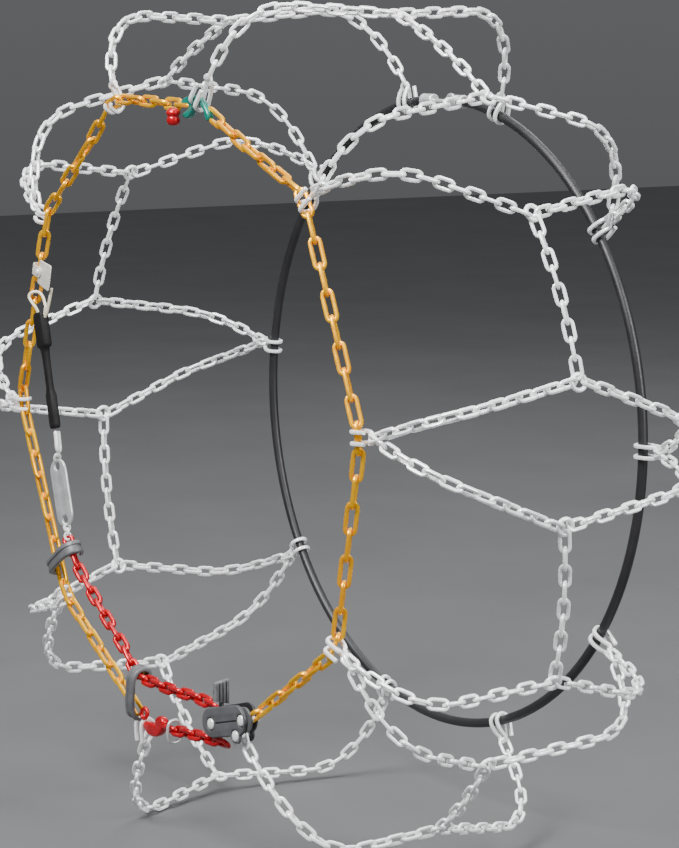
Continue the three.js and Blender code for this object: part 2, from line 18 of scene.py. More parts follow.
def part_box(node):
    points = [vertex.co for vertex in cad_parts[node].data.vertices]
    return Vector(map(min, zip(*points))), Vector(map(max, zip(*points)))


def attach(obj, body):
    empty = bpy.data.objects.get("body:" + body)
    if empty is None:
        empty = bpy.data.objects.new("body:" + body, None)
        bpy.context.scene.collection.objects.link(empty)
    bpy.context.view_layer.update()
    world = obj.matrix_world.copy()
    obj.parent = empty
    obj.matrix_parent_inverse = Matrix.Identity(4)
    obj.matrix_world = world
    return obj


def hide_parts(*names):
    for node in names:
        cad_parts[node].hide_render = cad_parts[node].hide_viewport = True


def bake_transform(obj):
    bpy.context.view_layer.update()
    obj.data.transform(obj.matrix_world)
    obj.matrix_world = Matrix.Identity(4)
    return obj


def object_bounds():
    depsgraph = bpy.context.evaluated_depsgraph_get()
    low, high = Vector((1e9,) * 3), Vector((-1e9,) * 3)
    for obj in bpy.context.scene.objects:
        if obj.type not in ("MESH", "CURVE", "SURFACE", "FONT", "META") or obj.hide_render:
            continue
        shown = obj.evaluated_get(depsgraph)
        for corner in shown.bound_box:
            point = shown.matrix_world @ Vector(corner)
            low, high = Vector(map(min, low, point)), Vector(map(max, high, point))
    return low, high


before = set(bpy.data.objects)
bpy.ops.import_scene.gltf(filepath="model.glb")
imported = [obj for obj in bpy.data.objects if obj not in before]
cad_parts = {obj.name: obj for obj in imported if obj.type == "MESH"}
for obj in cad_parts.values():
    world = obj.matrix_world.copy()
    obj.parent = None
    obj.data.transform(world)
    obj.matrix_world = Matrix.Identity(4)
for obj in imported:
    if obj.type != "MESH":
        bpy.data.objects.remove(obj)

MM = 0.001
cad_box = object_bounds()

# Camera: where it stands round the object, and its lens.
CAMERA_AZIMUTH = 55.9
CAMERA_ELEVATION = 7.99
CAMERA_DISTANCE = 2250.5
CAMERA_SIDE = -21.0
CAMERA_RISE = -0.5
CAMERA_LENS = 127.86
CAMERA_SENSOR = 36.0

# Tyre and loops, as in the frame.
TREAD_R = 317
SIDE_Y = 121
TENSION_Y = -122.5
TENSION_BEND = 8
CROWN_HALF = 72
SHOULDER_Y = 104
FLANK_Y = 117
HOOK_LENGTH = 16
HOOP_R = 240
HOOP_WIRE_R = 3.5
HOOP_GAP = 13
INNER_LAG = 7

# Links: pitch, outer width and wire of each chain.
NET_LINK = {"pitch": 12.0, "width": 9.0, "wire": 2.5}
SIDE_LINK = {"pitch": 17.9, "width": 9.8, "wire": 3.0}
RED_LINK = {"pitch": 12.4, "width": 10.0, "wire": 3.4}
NET_R = TREAD_R + NET_LINK["width"] / 2 + 0.5
PRONG_GAP = 7.8
PRONG_WIRE = 2.7
INNER_FRONT = 12.5
LOOP_HALF = 3.0
LOOP_WIRE_R = 1.3
HELD_HALF = 1.3
RING_R = 5.3
RING_WIRE = 3.2
RING_TILT = 0.15
ROLL = 45.0
ROLL_PLAY = 5.0
SLACK = 0.15

# Outer junctions: where each hook holds its chain (angle from +X towards +Z, and radius), the centre
# rings, how far the hook turns from the radius, its length, its front ends' reach, and its bend.
JUNCTIONS = [
    (80.5, 247, [0], -27, 22, 12.5, 2.9), (45.6, 251, [1, 2], -9, 16, 12.5, 2.9),
    (6.9, 241, [3, 4], -3, 16, 12.5, 2.9), (-29.2, 239.5, [5, 6], 9, 16, 12.5, 2.9),
    (-64.5, 225, [7], 0, 7, 0, 2.9), (-101, 225, [8], 12, 16, 12.5, 2.9),
    (-139, 217, [9, 10], 0, 14, 8.5, 2.9), (180, 226.5, [11, 12], 0, 16, 12.5, 2.9),
    (142, 243, [13, 14], 6, 12, 4, 2.0), (108.5, 250, [15], -12, 18, 1.5, 2.9),
]
LOCK_JUNCTION = 4
# Centre rings: angle, and distance from the mid plane. Each two in turn share a tread chain.
RINGS = [
    (71, 3), (50.4, 8), (32.7, -3), (11.6, 2), (-5.3, -12), (-26.4, 4), (-39.6, -20), (-56.6, -11),
    (-113, -5), (-136, 6), (-152, -4), (-175, 4), (168, -6), (147, 3), (129, -4), (112, 5),
]

# Side chains, as (x, z, roll, what is there): a link is centred on "held", two links meet at "joint",
# and the chain only bends at "". The roll is that of the even links there.
SIDE_RIGHT = [
    (53, 236.5, 10, "joint"), (107, 212, 10, ""), (174, 179.5, -45, "held"), (238, 28, -45, "held"),
    (209.5, -117, -45, "held"), (101.5, -190, -20, "joint"),
]
SIDE_LEFT = [
    (30, 240, 90, "joint"), (-35, 242, 60, ""), (-80, 239, 45, "held"), (-111, 213, 45, ""),
    (-144, 186, -45, ""), (-182, 154, -45, "joint"), (-204, 90, -40, ""), (-226, 3, 15, "held"),
    (-160, -140, 15, "held"), (-50, -214, 15, "joint"),
]
TENSION_UPPER = [(-155.5, -97), (-141, -117), (-100, -147), (-63, -173), (-54, -186)]
TENSION_MIDDLE = [(-54, -186), (0, -187), (40, -185.5), (62, -188)]
TENSION_LOWER = [(74, -212), (40, -213.5), (-8, -217.5)]


# ---- vectors and routes ----

def unit(v):
    v = np.asarray(v, float)
    return v / norm(v)


def around_wheel(deg, radius, y):
    a = radians(deg)
    return np.array([radius * cos(a), y, radius * sin(a)])


def radial(deg):
    return around_wheel(deg, 1.0, 0.0)


def near_angle(deg, reference):
    return deg + 360 * round((reference - deg) / 360)


def between(p, q, start, end, t):
    return (end - t) / (end - start) * p + (t - start) / (end - start) * q


def smooth_route(points, per_span, closed=False):
    """A centripetal Catmull-Rom curve through the points."""
    p = [np.asarray(q, float) for q in points]
    count = len(p)
    if not closed:
        p = [2 * p[0] - p[1]] + p + [2 * p[-1] - p[-2]]
        spans = count - 1
    else:
        p = [p[-1]] + p + [p[0], p[1]]
        spans = count
    out = []
    for i in range(spans):
        a, b, c, d = p[i:i + 4]
        knots = [0.0]
        for q, r in ((a, b), (b, c), (c, d)):
            knots.append(knots[-1] + max(norm(r - q), 1e-6) ** 0.5)
        t0, t1, t2, t3 = knots
        for s in range(per_span):
            t = t1 + (t2 - t1) * s / per_span
            a1, a2, a3 = between(a, b, t0, t1, t), between(b, c, t1, t2, t), between(c, d, t2, t3, t)
            b1, b2 = between(a1, a2, t0, t2, t), between(a2, a3, t1, t3, t)
            out.append(between(b1, b2, t1, t2, t))
    if not closed:
        out.append(p[-2])
    return np.array(out)


def matrix_of(x, y, z, place):
    """A matrix from its three axes and its place."""
    matrix = np.eye(4)
    matrix[:3] = np.transpose([x, y, z, place])
    return matrix


def rounded(points, reach, steps=5):
    """A polyline whose corners are rounded from `reach` before each to `reach` after it."""
    p = [np.asarray(q, float) for q in points]
    out = [p[0]]
    for before, corner, after in zip(p, p[1:], p[2:]):
        into = min(reach, norm(corner - before) * 0.45)
        away = min(reach, norm(after - corner) * 0.45)
        a = corner + unit(before - corner) * into
        b = corner + unit(after - corner) * away
        for i in range(steps + 1):
            t = i / steps
            out.append((1 - t) ** 2 * a + 2 * t * (1 - t) * corner + t * t * b)
    out.append(p[-1])
    return np.array(out)


class Route:
    """A polyline with a surface normal at each point, read by distance along it."""

    def __init__(self, points, normals):
        self.points = np.asarray(points, float)
        self.normals = np.asarray(normals, float)
        steps = norm(np.diff(self.points, axis=0), axis=1)
        self.at = np.concatenate([[0.0], np.cumsum(steps)])
        self.length = self.at[-1]

    def point(self, s):
        if s < 0:
            return self.points[0] + unit(self.points[0] - self.points[1]) * -s
        if s > self.length:
            return self.points[-1] + unit(self.points[-1] - self.points[-2]) * (s - self.length)
        return np.array([np.interp(s, self.at, self.points[:, k]) for k in range(3)])

    def normal(self, s):
        return unit([np.interp(s, self.at, self.normals[:, k]) for k in range(3)])


def tension_route(corners):
    points = rounded([(x, TENSION_Y, z) for x, z in corners], TENSION_BEND)
    return Route(points, [(0, -1, 0)] * len(points))


def side_joints(corners, y, pitch):
    """Where the links of a side chain meet, and how each link is rolled."""
    points = [np.array([x, y, z], float) for x, z, _, _ in corners]
    runs, run = [], []
    for i, (_, _, roll, kind) in enumerate(corners):
        if kind == "held":
            half = unit(points[i + 1] - points[i - 1]) * pitch / 2
            runs.append(run + [(points[i] - half, roll)])
            run = [(points[i] + half, roll)]
        else:
            run.append((points[i], roll))
        if kind == "joint" and len(run) > 1:
            runs.append(run)
            run = [(points[i], roll)]
    joints, rolls = [], []
    for run in runs:
        route = Route([p for p, _ in run], [(0, -1, 0)] * len(run))
        count = round(route.length / pitch)
        for k in range(count + 1):
            s = route.length * k / count
            if k or not joints or norm(joints[-1] - route.point(s)) > 1:
                joints.append(route.point(s))
                rolls.append(np.interp(s, route.at, [roll for _, roll in run]))
    return joints, [(a + b) / 2 + 90 * (i % 2) for i, (a, b) in enumerate(zip(rolls, rolls[1:]))]


# ---- mesh building ----

class Build:
    """Gathers vertices (mm) and faces for one piece."""

    def __init__(self):
        self.vertices = []
        self.faces = []

    def add(self, vertices, faces, matrix=None):
        start = len(self.vertices)
        v = np.asarray(vertices, float)
        if matrix is not None:
            v = v @ np.asarray(matrix)[:3, :3].T + np.asarray(matrix)[:3, 3]
        self.vertices.extend(v.tolist())
        self.faces.extend([tuple(i + start for i in face) for face in faces])
        return self

    def piece(self, name, material, body="chain_set", nodes=(), slot=None, sharp=40):
        mesh = bpy.data.meshes.new(name)
        mesh.from_pydata([[c * MM for c in v] for v in self.vertices], [], self.faces)
        return finish_piece(name, mesh, material, body, nodes, sharp)


def put(name, data):
    obj = bpy.data.objects.new(name, data)
    bpy.context.scene.collection.objects.link(obj)
    return obj


def finish_piece(name, mesh, material, body, nodes, sharp):
    bm = bmesh.new()
    bm.from_mesh(mesh)
    bmesh.ops.remove_doubles(bm, verts=bm.verts, dist=1e-6)
    bmesh.ops.recalc_face_normals(bm, faces=bm.faces)
    bm.to_mesh(mesh)
    bm.free()
    mesh.polygons.foreach_set("use_smooth", [True] * len(mesh.polygons))
    mesh.set_sharp_from_angle(angle=radians(sharp))
    obj = put(name, mesh)
    mesh.materials.append(MATERIALS[material])
    if body:
        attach(obj, body)
    if nodes:
        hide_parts(*nodes)
    return obj


def circle(x, y, r, count=28):
    return [(x + r * cos(2 * pi * i / count), y + r * sin(2 * pi * i / count))
            for i in range(count)]


def round_section(radius, sides=10):
    return circle(0, 0, radius, sides)


def square_section(width, height=None, corner=0.32, per_corner=3):
    """A rectangle with round corners; corner is the rounding as a share of the smaller side."""
    height = height or width
    r = corner * min(width, height)
    out = []
    for k, (sx, sy) in enumerate(((1, 1), (-1, 1), (-1, -1), (1, -1))):
        cx, cy = sx * (width / 2 - r), sy * (height / 2 - r)
        for i in range(per_corner):
            a = pi / 2 * (k + i / (per_corner - 1))
            out.append((cx + r * cos(a), cy + r * sin(a)))
    return out


def bands(rows, n, start=0, closed=False):
    """Faces between each row of n points and the next."""
    faces = []
    for i in range(rows if closed else rows - 1):
        a, b = start + i * n, start + (i + 1) % rows * n
        faces.extend((a + k, a + (k + 1) % n, b + (k + 1) % n, b + k) for k in range(n))
    return faces


def skin(rows, n):
    """Bands with both ends closed."""
    return bands(rows, n) + [tuple(reversed(range(n))), tuple(range((rows - 1) * n, rows * n))]


# An end of a sweep: how wide each row of a dome is, or how wide and deep the chamfer of a cut end is.
DOME_SIZES = (0.30, 0.62, 0.90)
CUT_SIZE, CUT_DEPTH = 0.78, 0.2


def sweep(path, section, up, closed=False, scale=None, caps="round"):
    """Vertices and faces of `section` swept along `path`. `up` steers its second axis: one vector, or
    one for each point. Open ends are domed ("round") or chamfered flat ("cut")."""
    path = np.asarray(path, float)
    count = len(path)
    ups = np.asarray(up, float)
    if ups.ndim == 1:
        ups = np.tile(ups, (count, 1))
    if closed:
        tangents = np.roll(path, -1, axis=0) - np.roll(path, 1, axis=0)
    else:
        tangents = np.gradient(path, axis=0)
    section = np.asarray(section, float)
    reach = np.abs(section).max()
    rows = []
    for i in range(count):
        t = unit(tangents[i])
        side = unit(np.cross(ups[i], t))
        rows.append((path[i], t, side, np.cross(t, side), 1.0 if scale is None else scale[i]))
    if not closed:
        first, last = rows[0], rows[-1]
        head, tail = [], []
        for size in DOME_SIZES if caps == "round" else (CUT_SIZE,):
            depth = reach * (sqrt(1 - size * size) if caps == "round" else CUT_DEPTH)
            head.append((first[0] - first[1] * depth, *first[1:4], first[4] * size))
            tail.append((last[0] + last[1] * depth, *last[1:4], last[4] * size))
        rows = head + rows + tail[::-1]
    vertices = []
    for point, _, side, over, size in rows:
        vertices.extend(point + side * (x * size) + over * (y * size) for x, y in section)
    n = len(section)
    faces = bands(len(rows), n, closed=True) if closed else skin(len(rows), n)
    return vertices, faces


# ---- materials ----

def node_tree(name):
    material = bpy.data.materials.new(name)
    material.use_nodes = True
    tree = material.node_tree
    return material, tree, tree.nodes["Principled BSDF"]


def node(tree, kind, output, inputs, **settings):
    """A new node's output, with values or other outputs on its inputs."""
    made = tree.nodes.new("ShaderNode" + kind)
    for name, value in settings.items():
        setattr(made, name, value)
    for name, value in inputs.items():
        if isinstance(value, bpy.types.NodeSocket):
            tree.links.new(value, made.inputs[name])
        else:
            made.inputs[name].default_value = value
    return made.outputs[output]


def noise(tree, scale_mm, detail=4.0, roughness=0.55, stretch=(1, 1, 1)):
    """3-D noise whose features are about scale_mm across, in the piece's own coordinates."""
    coords = node(tree, "TexCoord", "Object", {})
    place = node(tree, "Mapping", "Vector", {"Scale": stretch, "Vector": coords})
    return node(tree, "TexNoise", "Fac", {
        "Scale": 1 / (scale_mm * MM), "Detail": detail, "Roughness": roughness, "Vector": place})


def ramp(tree, value, low, high, from_value, to_value):
    """value, mapped from low..high to from_value..to_value and clamped."""
    return node(tree, "MapRange", "Result", {
        "From Min": low, "From Max": high, "To Min": from_value, "To Max": to_value, "Value": value})


def mix(tree, factor, a, b):
    a, b = ((*c, 1) if isinstance(c, tuple) else c for c in (a, b))
    return node(tree, "Mix", "Result", {"Factor": factor, "A": a, "B": b}, data_type="RGBA")


def finish_look(name, light, dark, worn, metallic, rough, patch_mm, grain_mm, bump_mm,
                wear=(0.56, 0.64), wear_rough=0.3, coat=0.0, grain_stretch=(1, 1, 1), specular=0.5):
    """A surface that varies between light and dark in patches, is worn to another colour on its edges,
    and has a fine grain in its roughness and its bump."""
    material, tree, shader = node_tree(name)
    patches = ramp(tree, noise(tree, patch_mm), 0.35, 0.68, 0.0, 1.0)
    grain = noise(tree, grain_mm, detail=6.0, roughness=0.6, stretch=grain_stretch)
    colour = mix(tree, patches, light, dark)
    edge = node(tree, "NewGeometry", "Pointiness", {})
    scuffs = ramp(tree, noise(tree, patch_mm * 0.45, detail=6.0), 0.42, 0.62, 0.0, 1.0)
    edge_wear = ramp(tree, edge, wear[0], wear[1], 0.0, 1.0)
    worn_here = node(tree, "Math", "Value", {0: edge_wear, 1: scuffs}, operation="MULTIPLY")
    tree.links.new(mix(tree, worn_here, colour, worn), shader.inputs["Base Color"])
    roughness = ramp(tree, grain, 0.3, 0.7, rough[0], rough[1])
    roughness = node(tree, "Mix", "Result", {"Factor": worn_here, "A": roughness, "B": wear_rough})
    tree.links.new(roughness, shader.inputs["Roughness"])
    shader.inputs["Metallic"].default_value = metallic
    shader.inputs["Specular IOR Level"].default_value = specular
    shader.inputs["Coat Weight"].default_value = coat
    shader.inputs["Coat Roughness"].default_value = 0.12
    bump = node(tree, "Bump", "Normal", {"Strength": 0.6, "Distance": bump_mm * MM, "Height": grain})
    tree.links.new(bump, shader.inputs["Normal"])
    return material


# One look for each of the record's slots, and a lighter copy of grey_moulding with painted light for the
# guide hooks: the light, dark and worn colours, how metallic, the range of roughness, then the size of
# patches and grain, and the bump's height.
LOOKS = {
    "net_steel": ((0.97, 0.975, 0.98), (0.80, 0.81, 0.82), (0.98, 0.98, 0.97),
        0.2, (0.18, 0.36), 14, 0.9, 0.08, {}),
    "fitting_steel": ((0.69, 0.70, 0.70), (0.50, 0.51, 0.52), (0.93, 0.93, 0.92),
        0.6, (0.25, 0.45), 9, 0.5, 0.05, dict(grain_stretch=(1, 1, 0.25))),
    "rivet_steel": ((0.96, 0.96, 0.95), (0.86, 0.86, 0.85), (0.98, 0.98, 0.97),
        0.35, (0.18, 0.34), 4, 0.4, 0.04, {}),
    "yellow_paint": ((1.0, 0.54, 0.0), (0.92, 0.38, 0.0), (1.0, 0.70, 0.10),
        0.65, (0.26, 0.42), 22, 0.8, 0.06, dict(wear=(0.58, 0.68))),
    "red_paint": ((0.55, 0.0, 0.008), (0.35, 0.0, 0.005), (0.9, 0.12, 0.12),
        0.4, (0.2, 0.36), 16, 0.8, 0.06, dict(coat=0.2, wear=(0.58, 0.7))),
    "green_paint": ((0.0, 0.20, 0.15), (0.0, 0.12, 0.09), (0.03, 0.33, 0.25),
        0.1, (0.22, 0.4), 9, 0.6, 0.05, dict(coat=0.5, wear=(0.56, 0.66))),
    "cream_paint": ((0.80, 0.75, 0.60), (0.66, 0.60, 0.42), (0.9, 0.88, 0.8),
        0.1, (0.3, 0.5), 8, 0.5, 0.05, dict(coat=0.2)),
    "tag_sheet": ((0.80, 0.77, 0.70), (0.66, 0.63, 0.55), (0.93, 0.92, 0.88),
        0.35, (0.3, 0.5), 7, 0.4, 0.05, dict(grain_stretch=(0.3, 1, 1))),
    "grey_moulding": ((0.080, 0.082, 0.087), (0.056, 0.057, 0.062), (0.17, 0.17, 0.175),
        0.0, (0.38, 0.56), 10, 0.35, 0.06, dict(wear_rough=0.45)),
    # grey_moulding made lighter: painted light on the guide hooks, which are the same moulding as the lock
    # cover.
    "lit_grey_moulding": ((0.118, 0.120, 0.126), (0.080, 0.082, 0.088), (0.22, 0.22, 0.225),
        0.0, (0.3, 0.46), 10, 0.35, 0.06, dict(wear_rough=0.45)),
    "black_moulding": ((0.014, 0.014, 0.016), (0.008, 0.008, 0.009), (0.05, 0.05, 0.052),
        0.0, (0.4, 0.6), 10, 0.35, 0.06, dict(wear_rough=0.45)),
    "cable_sleeve": ((0.016, 0.016, 0.018), (0.009, 0.009, 0.010), (0.06, 0.06, 0.062),
        0.0, (0.34, 0.52), 26, 0.7, 0.08, dict(wear_rough=0.4)),
    "strap_rubber": ((0.012, 0.011, 0.012), (0.006, 0.006, 0.006), (0.05, 0.048, 0.048),
        0.0, (0.5, 0.72), 12, 0.5, 0.08, dict(wear_rough=0.6, specular=0.2)),
}
MATERIALS = {name: finish_look(name, *look[:-1], **look[-1]) for name, look in LOOKS.items()}


# ---- chain links ----

def link_template(length, width, wire, square):
    """One link round its centre, along X, flat in X-Y, with a slight weld swelling on one long side."""
    r = (width - wire) / 2
    straight = length / 2 - width / 2
    path = []
    arc_steps = 7
    for end in (1, -1):
        for i in range(arc_steps + 1):
            a = radians(-90 + 180 * i / arc_steps)
            path.append((end * (straight + r * cos(a)), end * r * sin(a), 0))
        if end == 1:
            path.extend([(straight * 0.35, r, 0), (0, r, 0), (-straight * 0.35, r, 0)])
        else:
            path.extend([(-straight * 0.35, -r, 0), (0, -r, 0), (straight * 0.35, -r, 0)])
    weld = [1.0] * len(path)
    weld[arc_steps + 2] = 1.12
    section = square_section(wire, corner=0.36) if square else round_section(wire / 2)
    return sweep(path, section, (0, 0, 1), closed=True, scale=weld)


def lay_joined(build, joints, normals, link, rolls, seed, square=True):
    """Lays one link between each two joints in turn, rolled from lying flat on its normal."""
    draw = random.Random(seed)
    for a, b, normal, roll in zip(joints, joints[1:], normals, rolls):
        pitch = norm(b - a)
        along = (b - a) / pitch
        across = unit(np.cross(along, normal))
        normal = np.cross(across, along)
        turn = radians(roll + draw.uniform(-ROLL_PLAY, ROLL_PLAY))
        wide = across * cos(turn) + normal * sin(turn)
        template = link_template(pitch + 2 * link["wire"] + SLACK, link["width"], link["wire"], square)
        build.add(*template, matrix_of(along, wide, np.cross(along, wide), (a + b) / 2))


def lay_links(build, route, link, start_wire=0.0, end_wire=0.0, first_roll=1, seed=0, square=True):
    """Lays a whole number of links along a route, each turned a quarter turn from the last. The route
    runs between the middles of what its end links hold, whose half thicknesses are start_wire and
    end_wire."""
    length = route.length + start_wire + end_wire
    count = max(1, round(length / link["pitch"]))
    places = [-start_wire + length * i / count for i in range(count + 1)]
    normals = [route.normal(min(max((s + t) / 2, 0), route.length)) for s, t in zip(places, places[1:])]
    rolls = [ROLL * first_roll * (1 - 2 * (i % 2)) for i in range(count)]
    lay_joined(build, [route.point(s) for s in places], normals, link, rolls, seed, square)


def wire(build, points, radius, matrix=None, per_span=5, sides=10):
    path = smooth_route(points, per_span)
    return build.add(*sweep(path, round_section(radius, sides), steady_ups(path)), matrix)


# ---- net ----

def shoulder_section(hook_radius, steps=28):
    """The wheel's section from a junction's hook to the crown, as (distance from mid plane, radius)."""
    a = np.array([SIDE_Y, hook_radius])
    b = np.array([FLANK_Y, (hook_radius + NET_R) / 2 + 3])
    c = np.array([SHOULDER_Y, NET_R])
    d = np.array([CROWN_HALF, NET_R])
    out = []
    for i in range(steps + 1):
        t = i / steps
        out.append((1 - t) ** 3 * a + 3 * t * (1 - t) ** 2 * b + 3 * t * t * (1 - t) * c + t ** 3 * d)
    return out


def cross_route(junction_deg, apex_r, ring_index, side):
    """From a hook's apex over the tyre to its ring. The angle turns as 1 / radius squared, as on the
    shortest way."""
    ring_deg, ring_y = RINGS[ring_index]
    section = shoulder_section(apex_r)
    end_y = side * ring_y + RING_R
    crown_steps = 10
    section += [np.array([CROWN_HALF + (end_y - CROWN_HALF) * (i + 1) / crown_steps, NET_R])
                for i in range(crown_steps)]
    turns = [0.0]
    for p, q in zip(section, section[1:]):
        turns.append(turns[-1] + norm(q - p) / ((p[1] + q[1]) / 2) ** 2)
    ring_deg = near_angle(ring_deg, junction_deg)
    angles = [junction_deg + (ring_deg - junction_deg) * t / turns[-1] for t in turns]
    points = [around_wheel(d, p[1], side * p[0]) for d, p in zip(angles, section)]
    slopes = np.gradient(np.array(section), axis=0)
    normals = []
    for d, (dy, dr) in zip(angles, slopes):
        size = hypot(dy, dr)
        normals.append(radial(d) * (-dy / size) + np.array([0, side * dr / size, 0]))
    return Route(points, normals)


def tread_route(first, second):
    (start_deg, start_y), (end_deg, end_y) = RINGS[first], RINGS[second]
    end_deg = near_angle(end_deg, start_deg)
    steps = 16
    turn = degrees(RING_R / NET_R) * (1 if end_deg > start_deg else -1)
    points, normals = [], []
    for i in range(steps + 1):
        t = i / steps
        deg = start_deg + turn + (end_deg - start_deg - 2 * turn) * t
        points.append(around_wheel(deg, NET_R, start_y + (end_y - start_y) * t))
        normals.append(radial(deg))
    return Route(points, normals)


def side_hook(build, hold, apex, side, hold_r, front_reach):
    """A wire hook: a U whose bend holds the cross chains' first links, whose two legs pass behind the
    side loop, turn round it and end in front of it."""
    reach = norm(apex - hold)
    out = (apex - hold) / reach
    front = np.array([0, float(side), 0])
    along = np.cross(front, out)
    half = PRONG_GAP / 2
    leg = [(min(front_reach, reach - 3), hold_r + 1.9), (front_reach * 0.44, hold_r + 2.3),
           (-1.5, hold_r + 2.1), (-hold_r - 1.4, hold_r * 0.5), (-hold_r - 1.7, -hold_r * 0.35),
           (-hold_r * 0.45, -hold_r - 1.9), (4.0, -hold_r - 1.6), (reach - half - 2.0, -2.2)]
    bend = []
    for i in range(7):
        a = radians(90 - 30 * i)
        bend.append((reach - half + half * cos(a), -0.4, half * sin(a)))
    path = [(u, n, half) for u, n in leg] + bend + [(u, n, -half) for u, n in reversed(leg)]
    points = smooth_route([hold + out * u + front * n + along * t for u, n, t in path], 3)
    return build.add(*sweep(points, square_section(PRONG_WIRE, corner=0.3), steady_ups(points), caps="cut"))


def lock_loop(build, hold, apex):
    """The wire loop that holds one cross chain at the lock's lower rivet."""
    reach = norm(apex - hold)
    along = np.cross((apex - hold) / reach, (0, 1, 0))
    half = LOOP_HALF
    side = [(-0.5, half), (0.3, half), (0.8, half * 0.7)]
    places = [(u, -t) for u, t in side] + [(1, 0)] + side[::-1]
    return wire(build, [hold + along * t + (apex - hold) * u for u, t in places], LOOP_WIRE_R)


def steady_ups(points):
    """An up vector for each point that turns as little as it can along the path."""
    tangents = np.gradient(np.asarray(points, float), axis=0)
    tangents /= norm(tangents, axis=1)[:, None]
    seed = np.eye(3)[np.argmin(np.abs(tangents[0]))]
    ups = [unit(seed - tangents[0] * (seed @ tangents[0]))]
    for t in tangents[1:]:
        ups.append(unit(ups[-1] - t * (ups[-1] @ t)))
    return ups


def centre_ring(build, deg, y, play):
    """A round ring on the tread, tilted a little as it lies."""
    middle = around_wheel(deg, NET_R, y)
    out = unit(radial(deg) + np.array([0, play[0], 0]) + radial(deg + 90) * play[1])
    a = unit(np.cross(out, (0, 1, 0)))
    b = np.cross(out, a)
    points = [middle + (a * c + b * s) * RING_R for c, s in circle(0, 0, 1)]
    build.add(*sweep(points, round_section(RING_WIRE / 2), out, closed=True))


def make_net():
    for i, (deg, radius, rings, turn, reach, front, bend) in enumerate(JUNCTIONS):
        for side, name in ((-1, "outer"), (1, "inner")):
            if side < 0:
                hold = around_wheel(deg, radius, -SIDE_Y)
                apex = hold + radial(deg + turn) * reach
            else:
                hold = around_wheel(deg - INNER_LAG, HOOP_R, SIDE_Y)
                apex = around_wheel(deg - INNER_LAG, HOOP_R + HOOK_LENGTH, SIDE_Y)
            hook = Build()
            if side < 0 and i == LOCK_JUNCTION:
                lock_loop(hook, hold, apex)
            else:
                side_hook(hook, hold, apex, side, *(bend, front) if side < 0 else (HOOP_WIRE_R, INNER_FRONT))
            hook.piece(f"{name}_hook_{i + 1}", "net_steel")
            apex_deg = degrees(atan2(apex[2], apex[0]))
            apex_r = hypot(apex[0], apex[2])
            links = Build()
            for k, ring in enumerate(rings):
                route = cross_route(apex_deg, apex_r, ring, side)
                seed = 100 * i + 10 * k + side
                lay_links(links, route, NET_LINK, HELD_HALF, RING_WIRE / 2, 1 - 2 * k, seed)
            links.piece(f"{name}_cross_links_{i + 1}", "net_steel", nodes=[f"{name}_cross_chain_{i + 1}"])
    draw = random.Random(7)
    for i in range(0, len(RINGS), 2):
        number = i // 2 + 1
        links = Build()
        lay_links(links, tread_route(i, i + 1), NET_LINK, RING_WIRE / 2, RING_WIRE / 2, -1, seed=500 + i)
        links.piece(f"tread_links_{number}", "net_steel", nodes=[f"tread_chain_{number}"])
        for k, (deg, y) in enumerate(RINGS[i:i + 2]):
            ring = Build()
            play = [draw.uniform(-RING_TILT, RING_TILT) for _ in range(2)]
            centre_ring(ring, deg, y, play)
            ring.piece(f"centre_ring_{i + k + 1}", "net_steel")


make_net()


# ---- side and tension chains ----

def make_side_chains():
    for name, corners in (("right", SIDE_RIGHT), ("left", SIDE_LEFT)):
        joints, rolls = side_joints(corners, -SIDE_Y, SIDE_LINK["pitch"])
        links = Build()
        lay_joined(links, joints, [(0, -1, 0)] * len(rolls), SIDE_LINK, rolls, seed=len(name))
        links.piece(f"side_links_{name}", "yellow_paint", nodes=[f"side_chain_{name}"])


def make_tension_chain():
    upper = Build()
    corners = TENSION_UPPER[:-1] + TENSION_MIDDLE
    lay_links(upper, tension_route(corners), RED_LINK, 0, 0, 1, seed=3, square=False)
    upper.piece("tension_links_upper", "red_paint", nodes=["tension_chain_upper", "tension_chain_middle"])
    lower = Build()
    lay_links(lower, tension_route(TENSION_LOWER), RED_LINK, 0, 0, 1, seed=4, square=False)
    lower.piece("tension_links_lower", "red_paint", nodes=["tension_chain_lower"])


make_side_chains()
make_tension_chain()


# ---- flat and turned pieces ----

def stand(x, y, z, deg):
    """Places a piece in the side plane: its own x at `deg` from +X towards +Z, its depth outwards."""
    a = radians(deg)
    return matrix_of((cos(a), 0, sin(a)), (-sin(a), 0, cos(a)), (0, -1, 0), (x, y, z))


def rotation(deg, axis):
    return np.array(Matrix.Rotation(radians(deg), 4, axis))


def hull(points):
    points = sorted(set((round(x, 6), round(y, 6)) for x, y in points))

    def half(run):
        chain = []
        for p in run:
            while len(chain) > 1 and ((chain[-1][0] - chain[-2][0]) * (p[1] - chain[-2][1])
                                      - (chain[-1][1] - chain[-2][1]) * (p[0] - chain[-2][0])) <= 1e-6:
                chain.pop()
            chain.append(p)
        return chain[:-1]

    return half(points) + half(points[::-1])


def hull_of_circles(circles, count=40):
    return hull([p for x, y, r in circles for p in circle(x, y, r, count)])


def quad_outline(start, curves, steps=7):
    """An outline of quadratic curves, each as (control x, control y, end x, end y)."""
    out = []
    x0, y0 = start
    for cx, cy, x1, y1 in curves:
        for i in range(steps):
            t = i / steps
            out.append(((1 - t) ** 2 * x0 + 2 * t * (1 - t) * cx + t * t * x1,
                        (1 - t) ** 2 * y0 + 2 * t * (1 - t) * cy + t * t * y1))
        x0, y0 = x1, y1
    return out


def area(loop):
    return 0.5 * sum(a[0] * b[1] - b[0] * a[1] for a, b in zip(loop, loop[1:] + loop[:1]))


